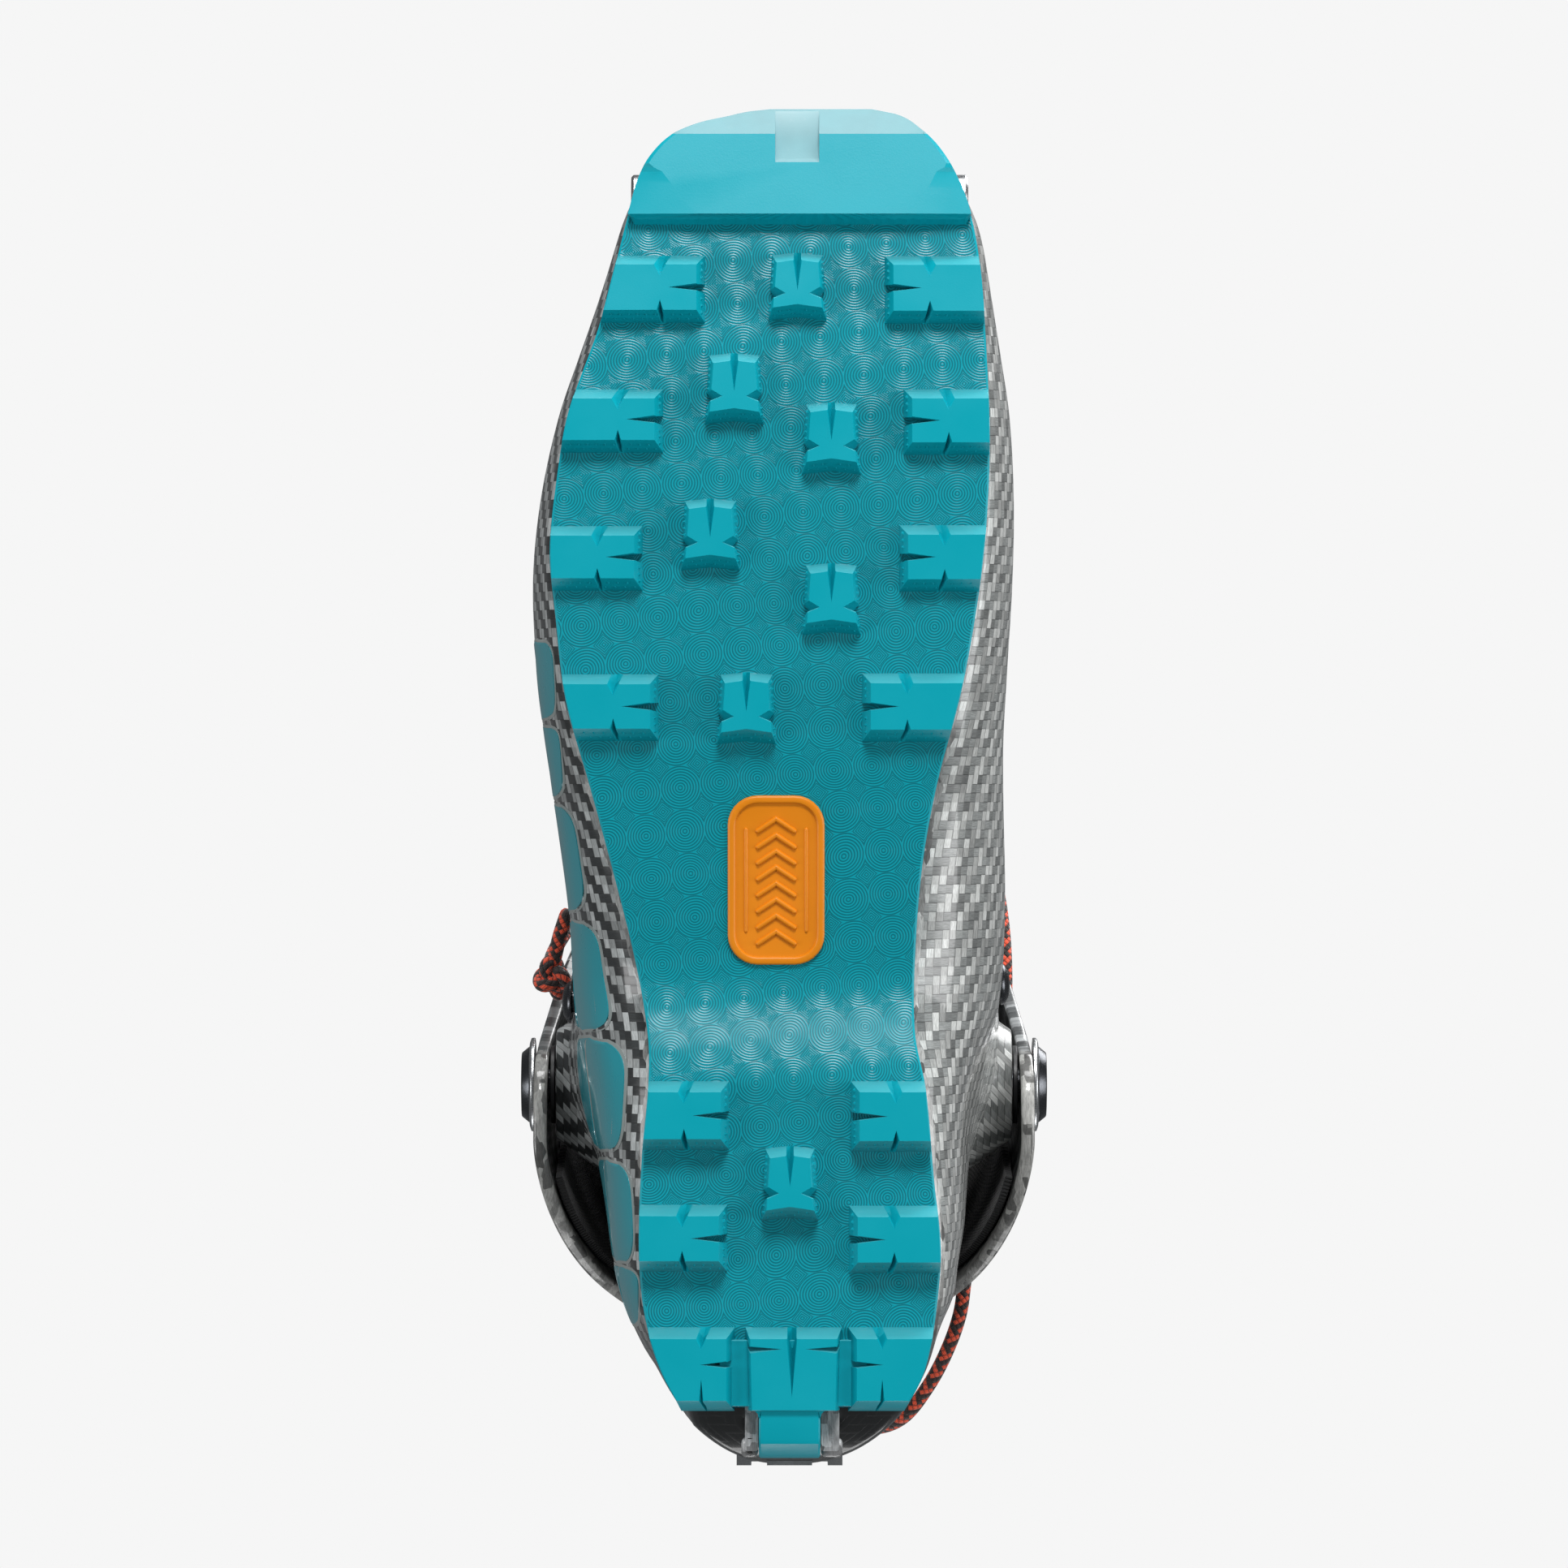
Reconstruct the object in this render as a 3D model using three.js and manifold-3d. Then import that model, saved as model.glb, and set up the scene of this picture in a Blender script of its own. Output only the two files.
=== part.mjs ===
// A right-foot alpine touring boot for race bindings: carbon lower shell on a lugged rubber sole, hinged carbon
// cuff, soft inner boot, fabric gaiter, dial lacing over the instep and a cord and lever closing the cuff.
// Millimetres, +Z up. The toe points to -Y and the big-toe side is +X. Z = 0 is the ground under the heel.
import * as THREE from "three";
import { mergeVertices } from "three/addons/utils/BufferGeometryUtils.js";
import Module from "manifold-3d";

const wasm = await Module();
wasm.setup();

// ---- driving dimensions -------------------------------------------------------------------------------
const GAP = 0.3; // between pieces that touch
const TOE_Y = -145.5; // front of the sole
const SOLE_BACK_Y = 134.3; // back edge of the heel lugs
const RUBBER = 3.2; // rubber between the lugs
const SHELL_TOE_Y = -142.8;
const SHELL_HEEL_Y = 148.3;
const SHELL_WALL = 2.2;
const LINER_WALL = 4.5;
const PIVOT = { y: 68, z: 103 }; // ankle hinge, an axis along X
const EAR_OUT = 51.4; // outside of the shell's ankle ears
const CUFF_WALL = 3;
const CUFF_HALF_WIDTH = 56.1; // outside of the cuff at the ankle hinge
const HEAD_OUT = 59.4; // outside of the hinge bolt heads
const CORD_D = 3.3;
const LACE_D = 1.3;
const LEVER = { y: 140, z: 163 }; // hinge of the ski and walk lever, an axis along X
const LEVER_LENGTH = 84;
const LEVER_LEAN = THREE.MathUtils.degToRad(4); // the open lever leans this far forward from upright
const REEL_Y = -16; // where the lace reel stands on the instep

// ---- materials ----------------------------------------------------------------------------------------
const paint = (color, roughness, metalness = 0) => new THREE.MeshStandardMaterial({ color, roughness, metalness });
const rubber = paint(0x18a5b4, 0.75);
const badgeRubber = paint(0xf09a1a, 0.55);
const carbon = paint(0x3c4143, 0.3);
const steel = paint(0xb9bcbe, 0.25, 1);
const blackPlastic = paint(0x17181a, 0.45);
const blackFabric = paint(0x1b1b1c, 0.95);
const foam = paint(0x2a2c2e, 0.95);
const tealPlastic = paint(0x2293a2, 0.4);
const cordRed = paint(0xc9402a, 0.85);
const wire = paint(0x8d9194, 0.4, 0.6);

// ---- geometry helpers ---------------------------------------------------------------------------------
const V = (x, y, z) => new THREE.Vector3(x, y, z);
const clamp = (v) => Math.min(1, Math.max(0, v));
const mix = (a, b, t) => a + (b - a) * t;
const range = (n) => Array.from({ length: n }, (_, i) => i);
const roundEnd = (t, n) => Math.pow(Math.max(0, 1 - Math.pow(clamp(t), n)), 1 / n);

// A smooth curve through [position, value] knots, flat beyond both ends.
function line(...knots) {
  const slope = (i) => {
    const a = knots[Math.max(0, i - 1)];
    const b = knots[Math.min(knots.length - 1, i + 1)];
    return (b[1] - a[1]) / (b[0] - a[0]);
  };
  return (p) => {
    if (p <= knots[0][0]) return knots[0][1];
    const i = knots.findIndex((k) => p <= k[0]) - 1;
    if (i < 0) return knots.at(-1)[1];
    const h = knots[i + 1][0] - knots[i][0];
    const t = (p - knots[i][0]) / h;
    const [t2, t3] = [t * t, t * t * t];
    return (2 * t3 - 3 * t2 + 1) * knots[i][1] + (t3 - 2 * t2 + t) * h * slope(i)
      + (3 * t2 - 2 * t3) * knots[i + 1][1] + (t3 - t2) * h * slope(i + 1);
  };
}

function geometry(points, triangles) {
  const made = new THREE.BufferGeometry();
  made.setAttribute("position", new THREE.Float32BufferAttribute(points.flatMap((p) => [p.x, p.y, p.z]), 3));
  made.setIndex(triangles.flat());
  return made;
}

// A closed solid through rings of points, with flat fans over the first and the last ring.
function loft(rings) {
  const n = rings[0].length;
  const points = rings.flat();
  const centre = (ring) => ring.reduce((s, p) => s.add(p), V(0, 0, 0)).divideScalar(ring.length);
  points.push(centre(rings[0]), centre(rings.at(-1)));
  const triangles = [];
  for (const j of range(n)) {
    const k = (j + 1) % n;
    for (const i of range(rings.length - 1)) {
      const [a, b] = [i * n, (i + 1) * n];
      triangles.push([a + j, a + k, b + j], [a + k, b + k, b + j]);
    }
    const last = (rings.length - 1) * n;
    triangles.push([points.length - 2, k, j], [points.length - 1, last + j, last + k]);
  }
  return geometry(points, triangles);
}

// A closed solid between two grids of points, rows by columns. A wrapped sheet closes on itself along its rows.
function thickSheet(outer, inner, wrapped = false) {
  const [rows, cols] = [outer.length, outer[0].length];
  const points = [...outer.flat(), ...inner.flat()];
  const o = (i, j) => i * cols + (j % cols);
  const n = (i, j) => rows * cols + o(i, j);
  const triangles = [];
  const quad = (a, b, c, d) => triangles.push([a, b, c], [a, c, d]);
  const spans = wrapped ? cols : cols - 1;
  for (const i of range(rows - 1)) {
    for (const j of range(spans)) {
      quad(o(i, j), o(i, j + 1), o(i + 1, j + 1), o(i + 1, j));
      quad(n(i, j), n(i + 1, j), n(i + 1, j + 1), n(i, j + 1));
    }
    if (!wrapped) {
      quad(o(i, 0), o(i + 1, 0), n(i + 1, 0), n(i, 0));
      quad(o(i, cols - 1), n(i, cols - 1), n(i + 1, cols - 1), o(i + 1, cols - 1));
    }
  }
  for (const j of range(spans)) {
    quad(o(0, j), n(0, j), n(0, j + 1), o(0, j + 1));
    quad(o(rows - 1, j), o(rows - 1, j + 1), n(rows - 1, j + 1), n(rows - 1, j));
  }
  return geometry(points, triangles);
}

function solid(source) {
  const bare = source.index ? source.toNonIndexed() : source.clone();
  bare.deleteAttribute("normal");
  bare.deleteAttribute("uv");
  const merged = mergeVertices(bare, 1e-4);
  const make = (triVerts) => new wasm.Manifold(new wasm.Mesh({
    numProp: 3, vertProperties: merged.attributes.position.array, triVerts,
  }));
  const triVerts = new Uint32Array(merged.index.array);
  const made = make(triVerts);
  return made.volume() >= 0 ? made : make(triVerts.reverse());
}

function geometryOf(manifold) {
  const mesh = manifold.getMesh();
  const made = new THREE.BufferGeometry();
  made.setAttribute("position", new THREE.BufferAttribute(mesh.vertProperties.slice(), 3));
  made.setIndex(new THREE.BufferAttribute(mesh.triVerts.slice(), 1));
  return made;
}

const join = (...parts) => parts.map(asSolid).reduce((a, b) => a.add(b));
const cut = (body, ...tools) => tools.map(asSolid).reduce((a, b) => a.subtract(b), asSolid(body));
// The biggest piece of a body that a cut left in several.
const biggest = (body) => body.decompose().reduce((a, b) => (a.volume() > b.volume() ? a : b));
const asSolid = (part) => (part.isBufferGeometry ? solid(part) : part);

function box(low, high) {
  const size = high.clone().sub(low);
  return new THREE.BoxGeometry(size.x, size.y, size.z).translate(...low.clone().add(high).divideScalar(2));
}

// A turned piece about an axis along X, from [distance along the axis, radius] pairs that start and end on the axis.
function turned(profile, sides = 24) {
  const points = profile.map(([along, radius]) => new THREE.Vector2(radius, along));
  return new THREE.LatheGeometry(points, sides).rotateZ(-Math.PI / 2);
}

// A round bar along a smooth open path.
function tube(path, diameter, sides = 8, step = diameter * 2.4) {
  const curve = new THREE.CatmullRomCurve3(path.map((p) => V(...p)));
  const section = new THREE.Shape();
  section.absarc(0, 0, diameter / 2, 0, 2 * Math.PI);
  return new THREE.ExtrudeGeometry(section, {
    extrudePath: curve, steps: Math.max(2, Math.round(curve.getLength() / step)), curveSegments: sides / 2,
    bevelEnabled: false,
  });
}

function extruded(shape, depth, curveSegments = 8) {
  return new THREE.ExtrudeGeometry(shape, { depth, bevelEnabled: false, curveSegments });
}

// A prism across the boot from x0 to x1, of an outline of [y, z] points.
function across(outline, x0, x1) {
  const shape = new THREE.Shape(outline.map(([y, z]) => new THREE.Vector2(y, z)));
  return extruded(shape, x1 - x0).applyMatrix4(basis(V(x0, 0, 0), V(0, 1, 0), V(0, 0, 1)));
}

// The frame at origin with its first two axes along u and v, as near as they can be square.
function basis(origin, u, v) {
  const n = u.clone().cross(v).normalize();
  const first = u.clone().normalize();
  return new THREE.Matrix4().makeBasis(first, n.clone().cross(first), n).setPosition(origin);
}

// A stadium or rounded block outline, w along the first axis and h along the second.
function rounded(w, h, r) {
  const shape = new THREE.Shape();
  shape.absarc(w / 2 - r, h / 2 - r, r, 0, Math.PI / 2);
  shape.absarc(r - w / 2, h / 2 - r, r, Math.PI / 2, Math.PI);
  shape.absarc(r - w / 2, r - h / 2, r, Math.PI, 1.5 * Math.PI);
  shape.absarc(w / 2 - r, r - h / 2, r, 1.5 * Math.PI, 2 * Math.PI);
  return shape;
}

const boot = new THREE.Group();
function add(name, source, material, group = boot) {
  const made = new THREE.Mesh(geometryOf(asSolid(source).simplify(0.1)), material);
  made.name = name;
  group.add(made);
  return made;
}

// ---- lines of the sole --------------------------------------------------------------------------------
// Distance of the sole's edge from the middle plane, on the little-toe side and on the big-toe side.
const soleLittle = line([-145.5, 5], [-144.6, 12], [-143.2, 18], [-140.5, 24], [-136, 28.7], [-131, 31.4], [-124, 33.4],
  [-110, 36.9], [-98, 40.1], [-80, 46.4], [-66, 48.9], [-50, 50.4], [-36, 49.2], [-18, 47], [0, 42], [20, 36.6],
  [38, 32.2], [54, 29.4], [64, 29.2], [80, 30.6], [98, 31.3], [110, 30.7], [119, 29], [127, 26.2], [134.3, 22.2]);
const soleBig = line([-145.5, 20], [-144, 25], [-141.4, 29.8], [-137.5, 33.6], [-132, 37], [-124, 40.1], [-112, 42.3],
  [-94, 43.6], [-74, 44.3], [-56, 43.6], [-40, 41.8], [-20, 38.2], [0, 33], [18, 29.8], [38, 28.3], [54, 28.3],
  [66, 30.6], [85, 32.3], [100, 33.8], [112, 33], [121, 31.6], [128, 29.6], [134.3, 26]);
// Height of the lug tips, and of the rubber between the lugs.
const treadZ = line([-145.5, 12.4], [-122, 6.5], [-100, 2.8], [-80, 0.7], [-66, 0.08], [-60, 0], [-56, 0], [-31, 0],
  [-26, 0], [-8, 0.4], [40, 0.2], [60, 0], [64, 0], [134, 0]);
const baseZ = line([-145.5, 17.2], [-122, 11.4], [-100, 7.8], [-80, 5.6], [-60, 4.7], [-35, 4.6], [-10, 5.3], [2, 6.9],
  [22, 9.4], [41, 11.8], [48, 11], [58, 7.4], [66, 6.1], [134, 6]);

// ---- lines of the lower shell -------------------------------------------------------------------------
const toeRound = (y) => roundEnd((-112 - y) / (-112 - SHELL_TOE_Y), 2.8);
const heelRound = (y) => roundEnd((y - 105) / (SHELL_HEEL_Y - 105), 2.3);
const bulgeLittle = line([-142, 32], [-128, 34.3], [-117, 36.6], [-106, 39.9], [-93, 44.4], [-80, 48.8], [-62, 52.8], [-44, 54.6],
  [-25, 53.9], [-7, 51.8], [11, 49.3], [29, 47], [48, 45.5], [75, 42.5], [90, 40], [105, 37.6], [125, 34], [143, 30]);
const bulgeBig = line([-142, 39], [-128, 41.5], [-112, 44], [-92, 47.2], [-80, 49], [-62, 50], [-44, 49.8], [-25, 48.8],
  [-7, 48], [29, 48.4], [48, 47.6], [75, 42.8], [90, 41], [105, 40], [125, 39], [143, 36]);
const bulgeZ = line([-142, 27], [-100, 28], [-50, 32], [0, 40], [50, 48], [90, 46], [143, 44]);
const roofZ = line([-142, 50], [-128, 56], [-112, 60.5], [-80, 69], [-60, 78], [-40, 89], [-20, 101], [0, 114], [20, 128],
  [40, 140], [60, 148], [100, 150], [118, 142], [126, 130], [131, 119], [138.5, 105], [145, 92], [148.3, 84]);
const shoulderShare = line([-142, 0.76], [-60, 0.72], [0, 0.74], [28, 0.86], [48, 1], [68, 1.13], [84, 1.02],
  [100, 0.92], [120, 0.88], [148, 0.76]);
const shoulderZ = line([-142, 42], [-128, 47], [-100, 54], [-80, 59], [-60, 66], [-40, 75], [-20, 84], [0, 92], [20, 98],
  [45, 102], [100, 103], [118, 98], [131, 84], [138.5, 74], [148.3, 62]);
const TOE_MID_Z = 28;
const HEEL_MID_Z = 44;
const SECTION_KNOTS = 14; // 0 to 4 climb the little-toe side to the shoulder, 6 is the top and 8 the other shoulder
// The heel's middle plane is a little towards the big toe.
const heelShift = (y) => 1 * clamp((y - 60) / 60);

// One cross-section of the lower shell, moved inwards by inset and standing at along Y, as a function of knots round it.
function shellSection(y, inset, at = y, floorLift = 0) {
  const ends = toeRound(y) * heelRound(y);
  const midZ = y < 0 ? TOE_MID_Z : HEEL_MID_Z;
  const lift = (z, power) => mix(midZ, z, Math.pow(ends, power));
  const floor = lift(baseZ(y) + RUBBER + GAP, 0.4) + inset + floorLift;
  const roof = Math.max(floor + 6, lift(roofZ(y), 0.8) - inset);
  const bulge = Math.max(floor + 2, lift(bulgeZ(y), 1));
  const shoulder = Math.min(roof - 1, Math.max(bulge + 2, lift(shoulderZ(y), 0.8)));
  const half = (side) => {
    const wide = (side < 0 ? bulgeLittle(y) : bulgeBig(y)) * ends - inset;
    const foot = Math.min((side < 0 ? soleLittle(y) : soleBig(y)) - 1.2 - inset, wide - 1) * Math.pow(ends, 0.2);
    const upper = wide * mix(1, shoulderShare(y), clamp((ends - 0.1) / 0.5));
    const points = [
      [foot, floor],
      [mix(foot, wide, 0.62), mix(floor, bulge, 0.3)],
      [wide, bulge],
      [mix(wide, upper, 0.5) + 0.6, mix(bulge, shoulder, 0.55)],
      [upper, shoulder],
      [upper * 0.6, mix(shoulder, roof, 0.74)],
    ];
    return points.map(([x, z]) => V(side * Math.max(x, 2) + heelShift(y), at, z));
  };
  const little = half(-1);
  const big = half(1).reverse();
  const control = [...little, V(heelShift(y), at, roof), ...big, V(heelShift(y), at, floor)];
  const curve = new THREE.CatmullRomCurve3(control, true, "centripetal");
  return (knot) => {
    const point = curve.getPoint(knot / SECTION_KNOTS);
    return point.setZ(Math.max(point.z, floor));
  };
}

// The lower shell's outside, or a surface within it, as a solid.
function shellForm(inset, floorLift = 0, stations = 25, sides = 26) {
  const middle = (SHELL_TOE_Y + SHELL_HEEL_Y) / 2;
  const half = (SHELL_HEEL_Y - SHELL_TOE_Y) / 2;
  const shrink = (half - inset) / half;
  return loft(range(stations).map((i) => {
    const y = middle - half * 0.9995 * Math.cos((Math.PI * i) / (stations - 1));
    const section = shellSection(y, inset, middle + (y - middle) * shrink, floorLift);
    return range(sides).map((k) => section((k * SECTION_KNOTS) / sides));
  }));
}

// A point over the outside of the lower shell at a knot count round its section.
const onShell = (y, knot, lift = 0) => shellSection(y, -lift)(knot);

// ---- lines of the cuff --------------------------------------------------------------------------------
// Each height has an oval, the cuff's outside: its back, its widest place and its front along Y, and its half-width.
const cuffBack = line([70, 143], [103, 141], [150, 132], [200, 120.5], [250, 109.5], [320, 94]);
const cuffMiddle = line([70, 72], [103, 71], [150, 63], [200, 54], [250, 43.5], [320, 28]);
const cuffFront = line([70, 14], [103, 18], [150, 12], [200, -2], [250, -19], [320, -42]);
const cuffWidth = line([70, CUFF_HALF_WIDTH], [107, CUFF_HALF_WIDTH], [128, 54.4], [150, 51.8], [200, 49.4], [250, 50.5],
  [320, 54]);
const backPower = line([80, 2.5], [120, 2.5], [180, 2.15], [320, 2.15]);
const frontPower = line([80, 3.2], [110, 3.2], [150, 2.6], [200, 2.3], [320, 2.2]);

// A point on the cuff's oval at height z, moved inwards by inset. Turn 0 is the back and pi the front.
function cuffPoint(turn, z, inset = 0) {
  const [s, c] = [Math.sin(turn), Math.cos(turn)];
  const power = 2 / (c > 0 ? backPower : frontPower)(z);
  const depth = c > 0 ? cuffBack(z) - cuffMiddle(z) : cuffMiddle(z) - cuffFront(z);
  const x = (cuffWidth(z) - inset) * Math.sign(s) * Math.pow(Math.abs(s), power);
  const y = cuffMiddle(z) + (depth - inset) * Math.sign(c) * Math.pow(Math.abs(c), power);
  return V(x, y, z);
}

const degrees = THREE.MathUtils.degToRad;
// How far round the cuff's front edges reach, and its lower and upper rims by the share of the way round.
const frontTurn = line([80, degrees(102.5)], [110, degrees(105)], [150, degrees(128)], [200, degrees(155)],
  [250, degrees(157)], [300, degrees(157)]);
const rimLow = line([0, 150], [0.2, 143], [0.4, 122], [0.6, 99], [0.72, 87.5], [0.8, 84], [0.9, 82.5], [0.96, 84.5],
  [1, 92]);
const rimHigh = line([0, 300], [0.35, 291], [0.7, 268], [1, 256]);

// A grid over the cuff between two shares of the way round, grown past its rims by lowRise and highRise.
function cuffGrid(inset, rows, cols, reach = 1, lowRise = 0, highRise = 0) {
  return range(rows).map((i) => range(cols).map((j) => {
    const share = reach * ((2 * j) / (cols - 1) - 1);
    const low = rimLow(Math.abs(share)) + lowRise;
    const z = mix(low, rimHigh(Math.abs(share)) + highRise, i / (rows - 1));
    return cuffPoint(share * frontTurn(z), z, inset);
  }));
}

// ---- sole ---------------------------------------------------------------------------------------------
// A block with a flat foot that narrows to its tip, standing down from the rubber between the lugs.
const LUG_DRAFT = 1.1;
const LUG_ROOT = 1.6; // how far a lug reaches into the rubber
function lug([x0, x1, y0, y1]) {
  const ring = (draft, z) => [
    V(x0 + draft, y0 + draft, z(y0)), V(x0 + draft, y1 - draft, z(y1)),
    V(x1 - draft, y1 - draft, z(y1)), V(x1 - draft, y0 + draft, z(y0)),
  ];
  return loft([ring(0, (y) => baseZ(y) + LUG_ROOT), ring(LUG_DRAFT, treadZ)]);
}

// Side lugs run from inner to the sole's own edge.
const sideLugs = [
  ["little", 17, -114, -99.4], ["little", 26, -85, -71.3], ["little", 30.4, -55.5, -41.6], ["little", 27, -23.6, -9.3],
  ["big", 21.7, -113.9, -99.2], ["big", 25.7, -85, -70.8], ["big", 24.8, -55.7, -41.4], ["big", 16.8, -23.8, -9.1],
  ["little", 11.8, 64, 78.8], ["little", 12.2, 90.6, 105], ["big", 14.4, 64, 79.2], ["big", 14, 90.8, 105.3],
];
const middleLugs = [
  [-3.4, 9.2, -114.6, -99.9], [-17, -4.4, -92.8, -77.4], [3.9, 16.5, -82.2, -66.6], [-22.2, -9.5, -61.4, -45.9],
  [3.9, 16.5, -47.5, -32], [-14.5, -1.7, -24, -8.5], [-4.8, 7.4, 78, 94.1],
];

// A slab of the sole between two positions along Y, from one height to another, out to the sole's edges.
function soleSlab(y0, y1, low, high, stations, draft = 0) {
  return loft(range(stations).map((i) => {
    const y = mix(y0, y1, i / (stations - 1));
    const [l, r] = [-soleLittle(y) + draft, soleBig(y) - draft];
    return [V(l, y, low(y)), V(r, y, low(y)), V(r, y, high(y)), V(l, y, high(y))];
  }));
}

const SOLE_STATIONS = 48;
const above = (rise) => (y) => baseZ(y) + rise;
function outsole() {
  const base = soleSlab(TOE_Y, SOLE_BACK_Y, baseZ, above(RUBBER), SOLE_STATIONS);
  const toeTip = (y) => treadZ(y) + 1.05 * Math.max(0, -140 - y);
  const toeBlock = soleSlab(TOE_Y, -121.4, toeTip, above(LUG_ROOT), 9);
  const notch = across([[-150, 17.6], [-150, 0], [-128, 0], [-131, 8.2]], -1.8, 7.9);
  const heelBlock = soleSlab(118.4, SOLE_BACK_Y, treadZ, above(LUG_ROOT), 6);
  const tongue = across([[132, 1.2], [141, 2.4], [144, 4.6], [145.4, 8], [145.4, 11], [142.6, 11], [141.8, 9], [132, 9]],
    -5.3, 7.8);
  const grooves = [[-10.9, -7.6], [11.6, 15]].map(([x0, x1]) => box(V(x0, 110, -5), V(x1, 136, 3.4)));
  const sides = sideLugs.map(([side, inner, y0, y1]) => {
    const edge = side === "little" ? (y) => -soleLittle(y) : soleBig;
    const sign = side === "little" ? -1 : 1;
    const ring = (y, draft) => {
      const [a, b] = [sign * (inner + draft), edge(y) - sign * 0.2];
      return [a, b];
    };
    const rows = range(4).map((i) => mix(y0, y1, i / 3));
    return loft(rows.map((y, i) => {
      const pull = i === 0 ? LUG_DRAFT : i === 3 ? -LUG_DRAFT : 0;
      const [rootIn, out] = ring(y, 0);
      const tipIn = ring(y, LUG_DRAFT)[0];
      return [V(rootIn, y, baseZ(y) + LUG_ROOT), V(out, y, baseZ(y) + LUG_ROOT), V(out, y + pull, treadZ(y)),
        V(tipIn, y + pull, treadZ(y))];
    }));
  });
  return cut(join(base, toeBlock, heelBlock, tongue, ...sides, ...middleLugs.map(lug)), notch, ...grooves);
}

// The badge lies in a shallow pocket of the arch, along the slope of the rubber.
const BADGE = { x: -1.7, y: 20.7, w: 20.9, h: 36.8 };
function badge(grow, low, high) {
  const along = V(0, 36.8, baseZ(39.1) - baseZ(2.3));
  const at = V(BADGE.x, BADGE.y, (baseZ(39.1) + baseZ(2.3)) / 2);
  const shape = rounded(BADGE.w + 2 * grow, BADGE.h + 2 * grow, 6.5 + grow);
  return extruded(shape, high - low, 5).translate(0, 0, low).applyMatrix4(basis(at, V(1, 0, 0), along));
}
add("outsole", cut(outsole(), badge(GAP, -9, 1.5)), rubber);
add("sole_badge", cut(badge(0, -0.9, 1.2), badge(-1.6, -3, -0.3)), badgeRubber);

// ---- lower shell --------------------------------------------------------------------------------------
// The shell's top edge from the side, front to back.
const COLLAR = [[2, 113], [14, 107.5], [32, 106], [46, 111], [57, 118], [68, 120.5], [79, 118], [88, 111], [97, 100.5],
  [110, 91], [128, 87], [155, 86]];
const aboveCollar = (rise, front = COLLAR) => across(
  [...front.map(([y, z]) => [y, z + rise]), [front.at(-1)[0], 190], [front[0][0], 190]], -80, 80);

// The opening over the instep, seen from above, and through the whole height above z.
function throat(grow, z) {
  const shape = new THREE.Shape();
  shape.moveTo(31 + grow, -50).lineTo(31 + grow, -8);
  shape.bezierCurveTo(27 + grow, 20, 24 + grow, 50, 0, 73 + grow);
  shape.bezierCurveTo(-22 - grow, 50, -25 - grow, 20, -29 - grow, -8);
  shape.lineTo(-29 - grow, -50);
  return extruded(shape, 150).scale(1, -1, 1).translate(0, 0, z);
}

const SIDES = [-1, 1];
const pivotDisc = (side, radius, x0, x1) => turned([[x0, 0], [x0, radius], [x1, radius], [x1, 0]])
  .scale(side, 1, 1).translate(0, PIVOT.y, PIVOT.z);
// The sockets at the toe that a binding's pins enter, out on each side of the shell.
const TOE_SOCKET = { y: -127.5, z: 25.5, half: { little: 32.4, big: 39.2 } };
// How far out the shell's side is at a height above its widest line.
function shellSide(side, y, z) {
  const knots = range(60).map((i) => 2 + i / 20);
  const near = knots.map((k) => onShell(y, side < 0 ? k : 12 - k)).sort((a, b) => Math.abs(a.z - z) - Math.abs(b.z - z));
  return near[0].x;
}
const RIVETS = [[-1, 49, 89], [1, 45, 89]].map(([side, y, z]) => ({ x: shellSide(side, y, z), y, z }));

const socketBore = (x) => turned([[Math.abs(x) - 9, 0], [Math.abs(x) - 9, 5.4], [Math.abs(x) + 9, 5.4], [Math.abs(x) + 9, 0]])
  .scale(Math.sign(x), 1, 1).translate(0, TOE_SOCKET.y, TOE_SOCKET.z);
const rivetBore = ({ x, y, z }) => turned([[40, 0], [40, 2.6], [60, 2.6], [60, 0]])
  .scale(Math.sign(x), 1, 1).translate(0, y, z);
const HEEL_FITTING = { x: 1.2, z: 30, w: 23, h: 15, front: 144.1, back: 148 };
const heelBlock = (grow, y0, y1) => box(
  V(HEEL_FITTING.x - HEEL_FITTING.w / 2 - grow, y0, HEEL_FITTING.z - HEEL_FITTING.h / 2 - grow),
  V(HEEL_FITTING.x + HEEL_FITTING.w / 2 + grow, y1, HEEL_FITTING.z + HEEL_FITTING.h / 2 + grow));

function lowerShell() {
  const ears = SIDES.map((side) => pivotDisc(side, 13, 42, EAR_OUT));
  const inside = shellForm(SHELL_WALL);
  const nutSeats = SIDES.map((side) => pivotDisc(side, 8.6, 38, 47));
  const bores = SIDES.map((side) => pivotDisc(side, 5.3, 38, 60));
  const soleSpace = soleSlab(TOE_Y, SOLE_BACK_Y, () => -20, above(RUBBER + GAP), SOLE_STATIONS, -6);
  return cut(join(shellForm(0), ...ears), inside, soleSpace, aboveCollar(0), throat(0, 48), ...nutSeats, ...bores,
    socketBore(-TOE_SOCKET.half.little), socketBore(TOE_SOCKET.half.big), ...RIVETS.map(rivetBore),
    heelBlock(GAP, HEEL_FITTING.front - 0.4, 160));
}
add("lower_shell", lowerShell(), carbon);

// A steel socket: a plug through the shell with a flange inside and a cone the pin enters.
function socket(x) {
  const out = Math.abs(x);
  return turned([[out - 2.9, 0], [out - 2.9, 5], [out + 0.3, 5], [out + 0.8, 4.5], [out + 0.8, 3.2], [out - 1.6, 0.9],
    [out - 1.6, 0]], 20).scale(Math.sign(x), 1, 1).translate(0, TOE_SOCKET.y, TOE_SOCKET.z);
}
add("toe_fitting_lateral", socket(-TOE_SOCKET.half.little), steel);
add("toe_fitting_medial", socket(TOE_SOCKET.half.big), steel);

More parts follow.
